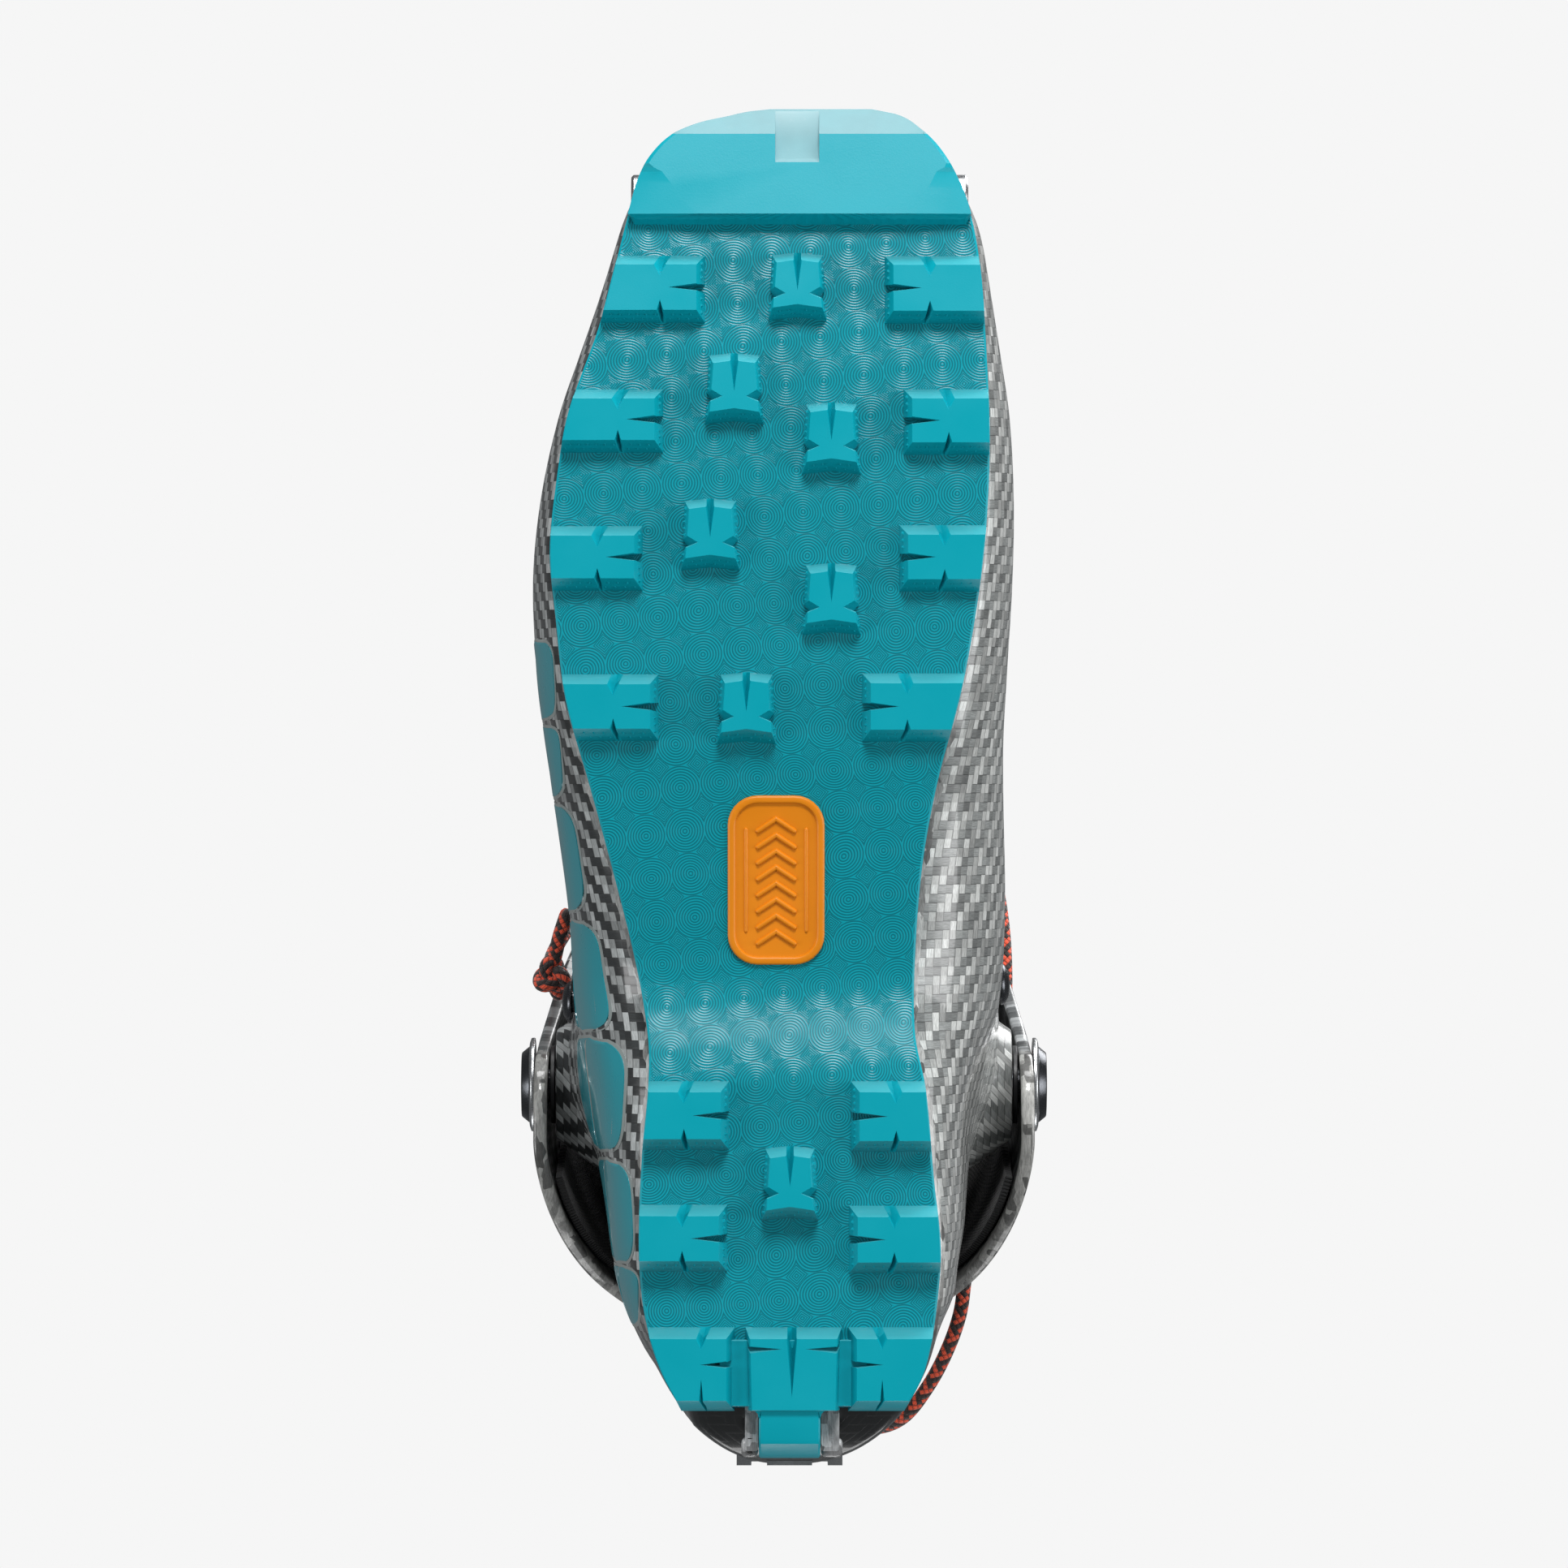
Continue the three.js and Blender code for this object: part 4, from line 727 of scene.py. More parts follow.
# ---- lines of the lower shell ------------------------------------------------------------------------
BULGE_LATERAL = line((-142, 32), (-128, 34.3), (-117, 36.6), (-106, 39.9), (-93, 44.4), (-80, 48.8),
                     (-62, 52.8), (-44, 54.6), (-25, 53.9), (-7, 51.8), (11, 49.3), (29, 47), (48, 45.5),
                     (75, 42), (87, 40.2), (102, 38.5), (109, 37.5), (116, 36), (124, 33.8), (128, 32.4),
                     (143, 31))
BULGE_MEDIAL = line((-142, 39), (-128, 41.5), (-112, 44), (-92, 47.2), (-80, 49), (-62, 50), (-44, 49.8),
                    (-25, 48.8), (-7, 48), (29, 48.4), (48, 46.8), (60, 43.6), (75, 40.5), (90, 39.5),
                    (97, 39), (106, 37.4), (112, 36.7), (118, 34.6), (123, 33.8), (143, 33.5))
BULGE_Z = line((-142, 27), (-100, 28), (-50, 32), (0, 40), (50, 48), (90, 46), (143, 44))
ROOF_Z = line((-142, 50), (-128, 56), (-112, 60.5), (-80, 69), (-60, 78), (-40, 89), (-20, 101), (0, 114),
              (20, 128), (40, 140), (60, 148), (100, 150), (118, 142), (126, 130), (131, 119), (138.5, 105),
              (145, 92), (148.3, 84))
SHOULDER_SHARE = line((-142, 0.76), (-60, 0.72), (0, 0.74), (28, 0.86), (48, 1), (68, 1.13), (84, 1.02),
                      (100, 0.92), (120, 0.88), (148, 0.76))
SHOULDER_Z = line((-142, 42), (-128, 47), (-100, 54), (-80, 59), (-60, 66), (-40, 75), (-20, 84), (0, 92),
                  (20, 98), (45, 102), (100, 103), (118, 98), (131, 84), (138.5, 74), (148.3, 62))
COLLAR = ((2, 113), (14, 107.5), (32, 106), (46, 111), (57, 118), (68, 120.5), (79, 118), (88, 111), (97, 100.5),
          (110, 91), (128, 87), (155, 86))


def closed_curve(control, knots):
    """Points of a closed centripetal curve through the control points, at knot counts round it."""
    count = len(control)
    knots = np.mod(knots, count)
    i = np.floor(knots).astype(int) % count
    t = (knots - np.floor(knots))[:, None]
    p0, p1, p2, p3 = (control[(i + k) % count] for k in (-1, 0, 1, 2))

    def apart(a, b):
        return np.maximum(1e-4, np.linalg.norm(b - a, axis=1)[:, None]) ** 0.5

    d0, d1, d2 = apart(p0, p1), apart(p1, p2), apart(p2, p3)
    return hermite(p1, p2, *tangents(p0, p1, p2, p3, d0, d1, d2), t)


TOE_CAP_Y, HEEL_CAP_Y = -112, 105  # where the shell starts to close towards its two ends


def shell_section(y, knots, inset=0.0, at=None, floor_lift=0.0):
    """Points round one cross-section of the lower shell. Knot 0 is the lateral foot, 6 the top, 13 the floor."""
    at = y if at is None else at
    ends = round_end((TOE_CAP_Y - y) / (TOE_CAP_Y - SHELL_TOE_Y), 2.8)
    ends = ends * round_end((y - HEEL_CAP_Y) / (SHELL_HEEL_Y - HEEL_CAP_Y), 2.3)
    mid_z = 28 if y < 0 else 44
    floor = mix(mid_z, BASE_Z(y) + RUBBER + GAP, ends ** 0.4) + inset + floor_lift
    roof = max(floor + 6, mix(mid_z, ROOF_Z(y), ends ** 0.8) - inset)
    bulge = max(floor + 2, mix(mid_z, BULGE_Z(y), ends))
    shoulder = min(roof - 1, max(bulge + 2, mix(mid_z, SHOULDER_Z(y), ends ** 0.8)))
    shift = np.clip((y - 60) / 60, 0, 1)

    def half(side):
        wide = (BULGE_LATERAL if side < 0 else BULGE_MEDIAL)(y) * ends - inset
        foot = min(abs(sole_edge(side, y)) - 1.2 - inset, wide - 1) * ends ** 0.2
        upper = wide * mix(1, SHOULDER_SHARE(y), np.clip((ends - 0.1) / 0.5, 0, 1))
        points = [(foot, floor), (mix(foot, wide, 0.62), mix(floor, bulge, 0.3)), (wide, bulge),
                  (mix(wide, upper, 0.5) + 0.6, mix(bulge, shoulder, 0.55)), (upper, shoulder),
                  (upper * 0.6, mix(shoulder, roof, 0.74))]
        return [(side * max(x, 2) + shift, at, z) for x, z in points]

    control = np.array([*half(-1), (shift, at, roof), *half(1)[::-1], (shift, at, floor)])
    points = closed_curve(control, np.atleast_1d(np.asarray(knots, float)))
    points[:, 2] = np.maximum(points[:, 2], floor)
    return points


def on_shell(y, knot, lift=0.0):
    return shell_section(y, [knot], -lift)[0]


def bezier(p0, p1, p2, p3, count=60):
    t = np.linspace(0, 1, count)[:, None]
    p0, p1, p2, p3 = (np.array(p, float) for p in (p0, p1, p2, p3))
    return (1 - t) ** 3 * p0 + 3 * (1 - t) ** 2 * t * p1 + 3 * (1 - t) * t * t * p2 + t ** 3 * p3


THROAT = {LATERAL: bezier((29, 8), (25, -20), (22, -50), (0, -73)),
          MEDIAL: bezier((31, 8), (27, -20), (24, -50), (0, -73))}


def throat_edge(side, y):
    """How far out the opening over the instep reaches, and nothing in front of its point."""
    near = THROAT[side]
    return float(np.interp(y, near[::-1, 1], near[::-1, 0], left=-1, right=near[0, 0]))


def shell_limit(y, side, inset=0.0, rise=0.0, lift=0.0, collar=COLLAR):
    """The knot count up one side of a section where the shell ends: at its collar, its throat or the top."""
    knots = np.linspace(0, 7, 281)
    points = shell_section(y, -1 + knots if side < 0 else 13 - knots, inset, floor_lift=lift)
    over = np.zeros(len(knots), bool)
    if y > collar[0][0]:
        over |= points[:, 2] > np.interp(y, [c[0] for c in collar], [c[1] for c in collar]) + rise
    if y < 50:
        over |= (side * points[:, 0] < throat_edge(side, y)) & (points[:, 2] > 48)
    hit = np.argmax(over) if over.any() else len(knots) - 1
    return knots[hit]


def shell_halves(stations, sides, inset=0.0, rise=0.0, lift=0.0, collar=COLLAR):
    """Two grids over the lower shell, floor to edge, one for each side, and their surface measures."""
    middle, half = (SHELL_TOE_Y + SHELL_HEEL_Y) / 2, (SHELL_HEEL_Y - SHELL_TOE_Y) / 2
    grids = []
    for side in (-1, 1):
        rows, uv = [], []
        for i in range(stations):
            y = middle - half * 0.9995 * math.cos(math.pi * i / (stations - 1))
            top = shell_limit(y, side, inset, rise, lift, collar)
            share = np.linspace(0, 1, sides) * top
            at = middle + (y - middle) * (half - inset) / half
            row = shell_section(y, -1 + share if side < 0 else 13 - share, inset, at, lift)
            run = np.concatenate([[0], np.cumsum(np.linalg.norm(np.diff(row, axis=0), axis=1))])
            foot = np.interp(1.0, share, run) if top > 1 else 0
            rows.append(row)
            uv.append(np.stack([(run - foot) * MM, np.full(sides, y * MM)], axis=1))
            if i in (0, stations - 1):  # closes the end on the midline, where the two halves meet
                rows.append(np.tile((row[0] + row[-1]) / 2, (sides, 1)))
                uv.append(uv[-1])
                if i == 0:
                    rows.reverse()
        grids.append((np.array(rows), np.array(uv), side))
    return grids


# ---- lines of the cuff -------------------------------------------------------------------------------
CUFF_BACK = line((70, 143), (103, 141), (150, 132), (200, 120.5), (250, 109.5), (320, 94))
CUFF_MIDDLE = line((70, 80), (103, 79), (125, 74), (150, 63), (200, 54), (250, 43.5), (320, 28))
CUFF_FRONT = line((70, 14), (103, 18), (150, 12), (200, -2), (250, -19), (320, -42))
CUFF_WIDTH = line((70, 56.1), (107, 56.1), (128, 54.4), (150, 51.8), (200, 49.4), (250, 50.5), (320, 54))
BACK_POWER = line((80, 1.7), (120, 1.75), (150, 2.15), (320, 2.15))
FRONT_POWER = line((80, 3.2), (110, 3.2), (150, 2.6), (200, 2.3), (320, 2.2))
FRONT_TURN = line((80, 98), (110, 100), (130, 108), (150, 126), (160, 133.4), (200, 155), (250, 157),
                  (300, 157))
RIM_LOW = line((0, 150), (0.2, 143), (0.4, 122), (0.6, 99), (0.72, 87.5), (0.8, 84), (0.9, 82.5),
               (0.96, 84.5), (1, 92))
RIM_HIGH = line((0, 300), (0.35, 291), (0.7, 268), (1, 256))


def cuff_point(turn, z, inset=0.0):
    """A point on the cuff's oval at height z. Turn is in degrees: 0 is the back and 180 the front."""
    turn, z = np.broadcast_arrays(np.radians(turn), np.asarray(z, float))
    s, c = np.sin(turn), np.cos(turn)
    power = 2 / np.where(c > 0, BACK_POWER(z), FRONT_POWER(z))
    depth = np.where(c > 0, CUFF_BACK(z) - CUFF_MIDDLE(z), CUFF_MIDDLE(z) - CUFF_FRONT(z))
    x = (CUFF_WIDTH(z) - inset) * np.sign(s) * np.abs(s) ** power
    y = CUFF_MIDDLE(z) + (depth - inset) * np.sign(c) * np.abs(c) ** power
    return np.stack([x, y, z], axis=-1)


def cuff_grid(inset, rows, cols, reach=1.0, low_rise=0.0, high_rise=0.0):
    share = reach * np.linspace(-1, 1, cols)
    low = RIM_LOW(np.abs(share)) + low_rise
    high = RIM_HIGH(np.abs(share)) + high_rise
    t = np.linspace(0, 1, rows)[:, None]
    z = low + (high - low) * t
    return cuff_point(share * FRONT_TURN(z), z, inset)


def cuff_frame(turn, z):
    at = cuff_point(turn, z)
    up = cuff_point(turn, z + 1) - cuff_point(turn, z - 1)
    wide = cuff_point(turn + 1.2, z) - cuff_point(turn - 1.2, z)
    return frame_at(at, -wide, up)


# ---- camera, floor and light -------------------------------------------------------------------------
scene = bpy.context.scene
scene.view_settings.view_transform = "Standard"
scene.view_settings.look = "None"


def add_camera():
    data = bpy.data.cameras.new("camera")
    data.sensor_width = 36
    data.lens = 36 * VIEW_DISTANCE / VIEW_WIDTH
    data.clip_end = 20
    made = bpy.data.objects.new("camera", data)
    made.location = (0, ORIGIN_Y * MM, -VIEW_DISTANCE * MM)
    made.rotation_euler = (math.pi, 0, 0)
    scene.collection.objects.link(made)
    scene.camera = made


def add_light(name, place_at, aim, size, power):
    data = bpy.data.lights.new(name, "AREA")
    data.shape = "RECTANGLE"
    data.size, data.size_y = size
    data.energy = power
    made = bpy.data.objects.new(name, data)
    made.location = place_at
    made.rotation_euler = (Vector(aim) - Vector(place_at)).to_track_quat("-Z", "Y").to_euler()
    made.visible_camera = False
    scene.collection.objects.link(made)


def add_world():
    world = bpy.data.worlds.new("studio")
    scene.world = world
    world.use_nodes = True
    t = Tree(world.node_tree)
    t.tree.nodes.clear()
    out = t.add("ShaderNodeOutputWorld")
    seen, lighting = t.add("ShaderNodeBackground"), t.add("ShaderNodeBackground")
    seen.inputs[0].default_value = linear(246, 246, 246)
    lighting.inputs[0].default_value = (0.95, 0.98, 1.0, 1)
    lighting.inputs[1].default_value = 0.15
    both = t.add("ShaderNodeMixShader")
    t.put(both.inputs[0], t.add("ShaderNodeLightPath").outputs["Is Camera Ray"])
    t.put(both.inputs[1], lighting.outputs[0])
    t.put(both.inputs[2], seen.outputs[0])
    t.put(out.inputs[0], both.outputs[0])


def add_floor():
    """A pale floor seen from above only, so that the sole can be looked at from below."""
    reach, below = 4000, -0.4
    made = Mesh().grid(np.array([[(x, y, below) for x in (-reach, reach)] for y in (-reach, reach)]))

    def fill(t, shader):
        color = t.blend(t.noise(place(t), 3), (0.3, 0.3, 0.3, 1), (0.34, 0.34, 0.34, 1))
        t.put(shader.inputs["Base Color"], color)
        shader.inputs["Emission Color"].default_value = (1, 1, 1, 1)
        shader.inputs["Emission Strength"].default_value = 0.52
        back = t.add("ShaderNodeNewGeometry").outputs["Backfacing"]
        t.put(shader.inputs["Alpha"], t.math("SUBTRACT", 1.0, back))
    floor = made.make("floor", [material("pale_floor", fill, roughness=0.8)], 180)
    for kind in ("diffuse", "glossy", "transmission", "volume_scatter", "shadow"):
        setattr(floor, "visible_" + kind, False)


add_camera()
add_world()
add_floor()
add_light("key_light", (0.15, -2.1, -1.75), (0, 0, 0.03), (0.9, 0.7), 66)
add_light("toe_strip", (0.2, -1.5, 0.05), (0, 0, 0.03), (1.4, 0.35), 15)
add_light("medial_light", (1.3, 0.1, -0.6), (0, 0, 0.05), (0.6, 1.4), 12)
add_light("lateral_light", (-1.3, 0.2, -0.7), (0, 0, 0.05), (0.5, 1.2), 9)
add_light("heel_light", (0.1, 1.3, 0.3), (0, 0, 0.1), (1.0, 0.5), 5)
add_light("top_light", (0.9, -1.2, 1.3), (0, 0, 0.1), (1.2, 1.2), 26)


# ---- outsole -----------------------------------------------------------------------------------------
# The third slot is a paler rubber, painted highlight on lug walls facing the lamps.
RUB, RING, PAINTED_HIGHLIGHT = 0, 1, 2  # slots of the sole's materials


def sole_slab(mesh, y0, y1, low, high, stations, kind):
    """A slab of the sole with a small chamfer along its lower edge. kind is for its lower face."""
    rows, cols = [], 28
    for y in np.linspace(y0, y1, stations):
        a, b = sole_edge(-1, y), sole_edge(1, y)
        x = np.concatenate([[a], np.linspace(a + 0.45, b - 0.45, cols), [b], [b - 0.2, a + 0.2]])
        z = np.full(len(x), low(y), float)
        z[[0, cols + 1]] = low(y) + 0.45
        z[-2:] = high(y)
        rows.append(np.stack([x, np.full(len(x), y), z], axis=1))
    grid = np.array(rows)
    width = grid.shape[1]
    kinds = [kind if 1 <= j < cols else RUB for _ in range(stations - 1) for j in range(width)] + [RUB, RUB]
    mesh.grid(grid, wrap=True, kind=kinds, caps=True, flip=True)


def wall(root_a, root_b, tip_a, tip_b, cuts=()):
    """Points along one wall of a lug from a to b, as (root, middle, tip), with cuts into it.

    cuts are (share along, half mouth, depth at the root, depth at the tip).
    """
    root_a, root_b, tip_a, tip_b = (np.array(p, float) for p in (root_a, root_b, tip_a, tip_b))
    length = np.linalg.norm(tip_b - tip_a)
    inward = np.array([-(root_b - root_a)[1], (root_b - root_a)[0]])
    inward /= np.linalg.norm(inward)
    marks = {0.0: (0, 0, 0)}
    for share, mouth, root_depth, tip_depth in cuts:
        gap = mouth / length
        marks[share - gap] = (0, 0, 0)
        marks[share] = (root_depth, mix(root_depth, tip_depth, 0.5), tip_depth)
        marks[share + gap] = (0, 0, 0)
    points = []
    for share in sorted(marks):
        root, tip = mix(root_a, root_b, share), mix(tip_a, tip_b, share)
        a, b, c = marks[share]
        points.append((root + inward * a, mix(root, tip, 0.45) + inward * b, tip + inward * c))
    return points


def pips(mesh, ends, size, pitch, levels, clear=(), side=1):
    """Rows of small pyramids standing on one wall of a lug.

    ends are its root and tip corners, as for a wall. clear holds (from, to) shares to leave plain.
    """
    root_a, root_b, tip_a, tip_b = (np.array(p, float) for p in ends)
    count = int(np.linalg.norm(root_b - root_a) / pitch)
    for row, level in enumerate(levels):
        for n in range(count - row % 2):
            share = (n + 0.5 + 0.5 * (row % 2)) / count
            if any(low < share < high for low, high in clear):
                continue
            corners = []
            for along in (share - 0.5 * size / pitch / count, share + 0.5 * size / pitch / count):
                root, tip = mix(root_a, root_b, along), mix(tip_a, tip_b, along)
                for up in (level - 0.09, level + 0.09):
                    x, y = mix(root, tip, up)
                    corners.append(np.array([x, y, mix(BASE_Z(y), TREAD_Z(y), up)]))
            a, b, c, d = corners
            out = np.cross(c - a, b - a)
            out *= -1 / np.linalg.norm(out)
            apex = mix((a + c) / 2, (b + d) / 2, 0.8) + out * size * 0.75
            points = np.array([a - out * 0.1, c - out * 0.1, d - out * 0.1, b - out * 0.1, apex]) * [side, 1, 1]
            faces = [(0, 1, 4), (1, 2, 4), (2, 3, 4), (3, 0, 4), (3, 2, 1, 0)]
            mesh.add(points, faces if side < 0 else [f[::-1] for f in faces])


def lug(mesh, walls, tip_z=TREAD_Z, root_z=BASE_Z, sink=0.6):
    """A rubber block from its walls, which go round it with its inside on their left."""
    points = [p for w in walls for p in w]
    root, middle, tip = (np.array([p[i] for p in points]) for i in range(3))
    before, after = np.roll(tip, 1, axis=0) - tip, np.roll(tip, -1, axis=0) - tip
    before /= np.maximum(1e-9, np.linalg.norm(before, axis=1))[:, None]
    after /= np.maximum(1e-9, np.linalg.norm(after, axis=1))[:, None]
    normal = np.stack([-(after - before)[:, 1], (after - before)[:, 0]], axis=1)
    normal /= np.maximum(1e-9, np.linalg.norm(normal, axis=1))[:, None]
    chamfer = 0.22
    inner = tip + normal * chamfer

    def ring(xy, z):
        return np.column_stack([xy, z])

    low, high = tip_z(tip[:, 1]), root_z(root[:, 1])
    rows = [ring(inner, tip_z(inner[:, 1])), ring(tip, low + chamfer), ring(middle, mix(high, low, 0.5)),
            ring(root, high), ring(root, high + sink)]
    step = np.roll(tip, -1, axis=0) - tip
    facing = step[:, 0] / np.maximum(1e-9, np.linalg.norm(step, axis=1))
    # Walls facing the toe, and heel-facing walls between Y 60 and 110, get the paler rubber: painted highlight.
    pale = (facing > 0.9) | ((facing < -0.9) & (tip[:, 1] > 60) & (tip[:, 1] < 110))
    pale = np.roll(pale[::-1], -1)
    kinds = [PAINTED_HIGHLIGHT if pale[j] and i < 3 else RUB for i in range(4) for j in range(len(pale))] + [RUB, RUB]
    mesh.grid(np.array(rows)[:, ::-1], wrap=True, kind=kinds, caps=True, flip=True)


SIDE_LUGS = [
    (LATERAL, 17, -114, -99.4), (LATERAL, 26, -85, -71.3), (LATERAL, 30.4, -55.5, -41.6),
    (LATERAL, 27, -23.6, -9.3),
    (MEDIAL, 21.7, -113.9, -99.2), (MEDIAL, 25.7, -85, -70.8), (MEDIAL, 24.8, -55.7, -41.4),
    (MEDIAL, 16.8, -23.8, -9.1),
    (LATERAL, 11.8, 64, 78.8), (LATERAL, 12.2, 90.6, 105), (MEDIAL, 14.4, 64, 79.2), (MEDIAL, 14, 90.8, 105.3),
]
MIDDLE_LUGS = [(-3.4, 9.2, -114.6, -99.9), (-17, -4.4, -92.8, -77.4), (3.9, 16.5, -82.2, -66.6),
               (-22.2, -9.5, -61.4, -45.9), (3.9, 16.5, -47.5, -32), (-14.5, -1.7, -24, -8.5),
               (-4.8, 7.4, 78, 94.1)]
TOE_SLOPE, HEEL_SLOPE, END_SLOPE = 2.0, 2.4, 1.7
COARSE_PIPS = (0.8, 1.65, (0.5,))  # size, pitch and levels of the rows
FINE_PIPS = (0.5, 2.0, (0.35, 0.68))


def mirrored(walls, side):
    """Walls laid out for the big-toe side, moved to the other one and still going round the same way."""
    if side > 0:
        return walls
    flipped = [[tuple(p * [-1, 1] for p in point) for point in w] for w in walls]
    ring = [p for w in flipped for p in w]
    return [ring[::-1]]


def side_lug(mesh, side, inner, y0, y1, back_cuts=(), front_cuts=((8.0, 1.2, 0.0, 2.4),),
             sipes=((0.5, 0.7, 5.2, 6.0),), teeth=True):
    """A lug from its inner end to the sole's edge, between y0 and y1.

    The first number of each front and back cut is how far it lies from the inner end.
    """
    def edge(y):
        return abs(sole_edge(side, y)) - 0.1

    toe, heel = y0 + TOE_SLOPE, y1 - HEEL_SLOPE
    a_root, a_tip = (inner, y0), (inner + END_SLOPE, toe)
    b_root, b_tip = (edge(y0), y0), (edge(toe), toe)
    c_root, c_tip = (edge(y1), y1), (edge(heel), heel)
    d_root, d_tip = (inner, y1), (inner + END_SLOPE, heel)
    front_length, back_length = b_tip[0] - a_tip[0], c_tip[0] - d_tip[0]
    outer = []
    for t in np.linspace(0, 1, 6, endpoint=False):
        root, tip = mix(y0, y1, t), mix(toe, heel, t)
        points = [np.array([edge(y), y]) for y in (root, mix(root, tip, 0.45), tip)]
        outer.append(tuple(points))
    walls = [
        wall(a_root, b_root, a_tip, b_tip, [(d / front_length, m, r, t) for d, m, r, t in front_cuts]),
        outer,
        wall(c_root, d_root, c_tip, d_tip, [(1 - d / back_length, m, r, t) for d, m, r, t in back_cuts]),
        wall(d_root, a_root, d_tip, a_tip, sipes),
    ]
    if teeth:
        clear = [(share - 0.09, share + 0.09) for share, *_ in sipes]
        pips(mesh, (d_root, a_root, d_tip, a_tip), *COARSE_PIPS, clear, side)
        clear = [(1 - (d + 1) / back_length, 1 - (d - 1) / back_length) for d, *_ in back_cuts]
        pips(mesh, (c_root, d_root, c_tip, d_tip), *FINE_PIPS, clear, side)
    lug(mesh, mirrored(walls, side))


def middle_lug(mesh, x0, x1, y0, y1):
    """A small block in the middle of the sole, split in front and with a notch in each side."""
    toe, heel, narrow = y0 + 1.7, y1 - HEEL_SLOPE, 0.8
    centre = (x0 + x1) / 2
    lean, point = 0.9, 0.7
    medial = ((x1 - narrow, y0 + 0.5), (x1, y1), (x1 - lean - narrow, toe + 0.5), (x1 - lean, heel))
    lateral = ((x0, y1), (x0 + narrow, y0 + 0.5), (x0 + lean, heel), (x0 + lean + narrow, toe + 0.5))
    backs = (((x1, y1), (centre, y1 - point), (x1 - lean, heel), (centre, heel - point)),
             ((centre, y1 - point), (x0, y1), (centre, heel - point), (x0 + lean, heel)))
    walls = [
        wall(lateral[1], (centre, y0), lateral[3], (centre, toe)),
        [tuple(np.array(p, float) for p in ((centre, y0), (centre, y0 + 3.4), (centre, toe + 6.5)))],
        wall((centre + 0.8, y0), medial[0], (centre + 0.8, toe), medial[2]),
        wall(*medial, ((0.66, 1.15, 1.5, 2.4),)),
        *(wall(*back) for back in backs),
        wall(*lateral, ((0.34, 1.15, 1.5, 2.4),)),
    ]
    pips(mesh, medial, *COARSE_PIPS, [(0.56, 0.76)])
    pips(mesh, lateral, *COARSE_PIPS, [(0.24, 0.44)])
    for back in backs:
        pips(mesh, back, *FINE_PIPS)
    walls[0] = walls[0] + [tuple(np.array([centre - 0.8, y], float) for y in (y0, mix(y0, toe, 0.45), toe))]
    lug(mesh, walls)


def toe_block(mesh):
    """The smooth pad under the toe: a level face, a slope up to the front edge and faceted back corners."""
    root, shoulder, tip = [], [], []
    front, back = -140.4, -122.9

    def level(y):
        """The pad's face is one plane."""
        return mix(TREAD_Z(back), TREAD_Z(front), (back - y) / (back - front))

    def add(outer, inner, drop):
        root.append((*outer, BASE_Z(outer[1]) + 0.8))
        shoulder.append((*outer, min(BASE_Z(outer[1]) + 0.4, level(outer[1]) + drop)))
        tip.append((*inner, level(inner[1])))

    facet = {LATERAL: ((-26.6, -132.5), (-19.4, back)), MEDIAL: ((33.1, -132.5), (28.3, back))}
    face_corner = {LATERAL: -24, MEDIAL: 31}

    def flank(side, ys):
        (x0, y0), (x1, y1) = facet[side]
        for y in ys:
            outer = (sole_edge(side, y), y)
            if y < front:
                x = max(face_corner[LATERAL], min(face_corner[MEDIAL], outer[0]))
                add(outer, (x, front), 0.8 * (front - y) + 0.3)
            elif y < y0:
                share = (y - front) / (y0 - front)
                bulge = 5.0 * math.sin(math.pi * share) ** 0.7
                x = min(abs(outer[0]) - 0.9, abs(mix(face_corner[side], x0, share)) + bulge)
                add(outer, (side * x, y), mix(0.3, 1.1, share))
            else:
                share = (y - y0) / (y1 - y0)
                add(outer, (mix(x0, x1, share), mix(y0, y1, share)), 1.1)

    ys = np.concatenate([np.linspace(TOE_Y, front, 12), np.linspace(front, back, 20)[1:]])
    flank(LATERAL, ys[::-1])
    xs = np.linspace(sole_edge(-1, TOE_Y), sole_edge(1, TOE_Y), 26)[1:-1]
    for x in xs:
        add((x, TOE_Y), (x, front), 0.8 * (front - TOE_Y) + 0.3)
    flank(MEDIAL, ys)
    count = 27
    for n in range(1, 2 * count):
        share = n / (2 * count)
        x = mix(sole_edge(1, back), sole_edge(-1, back), share)
        dent = 0.35 if n % 2 else 0.0
        root.append((x, back + 2.5, BASE_Z(back) + 0.4))
        shoulder.append((x, back + 1.2 - dent, level(back) + 2.2))
        tip.append((mix(facet[MEDIAL][1][0], facet[LATERAL][1][0], share), back, level(back)))
    rows = np.array([tip, shoulder, root])
    top = np.array([(x, y, z + 0.6) for x, y, z in root])
    ahead = rows[0, :, 1] < front + 0.01
    # The front slope gets the paler rubber: painted highlight where the toe light glances off.
    pale = ahead & np.roll(ahead, -1)
    kinds = [*pale.astype(int), *[0] * (2 * len(pale) + 2)]
    mesh.grid(np.concatenate([rows, [top]]), wrap=True, kind=kinds, caps=True)


def carve(made, sharp, *cutters):
    """Cuts closed meshes out of a piece for good."""
    for cutter in cutters:
        step = made.modifiers.new("cut", "BOOLEAN")
        step.object = cutter
        step.operation = "DIFFERENCE"
        step.solver = "EXACT"
    bpy.context.view_layer.update()
    evaluated = made.evaluated_get(bpy.context.evaluated_depsgraph_get())
    mesh = bpy.data.meshes.new_from_object(evaluated)
    made.modifiers.clear()
    made.data = mesh
    mesh.shade_smooth()
    mesh.set_sharp_from_angle(angle=math.radians(sharp))
    for cutter in cutters:
        bpy.data.objects.remove(cutter)
    return made


def prism(outline, depth_axis, low, high):
    """A closed mesh of an outline pushed along an axis: 0 for (y, z) outlines, 2 for (x, y) ones."""
    rows = []
    for level in (low, high):
        if depth_axis == 0:
            rows.append([(level, a, b) for a, b in outline])
        else:
            rows.append([(a, b, level) for a, b in outline])
    return np.array(rows, float)


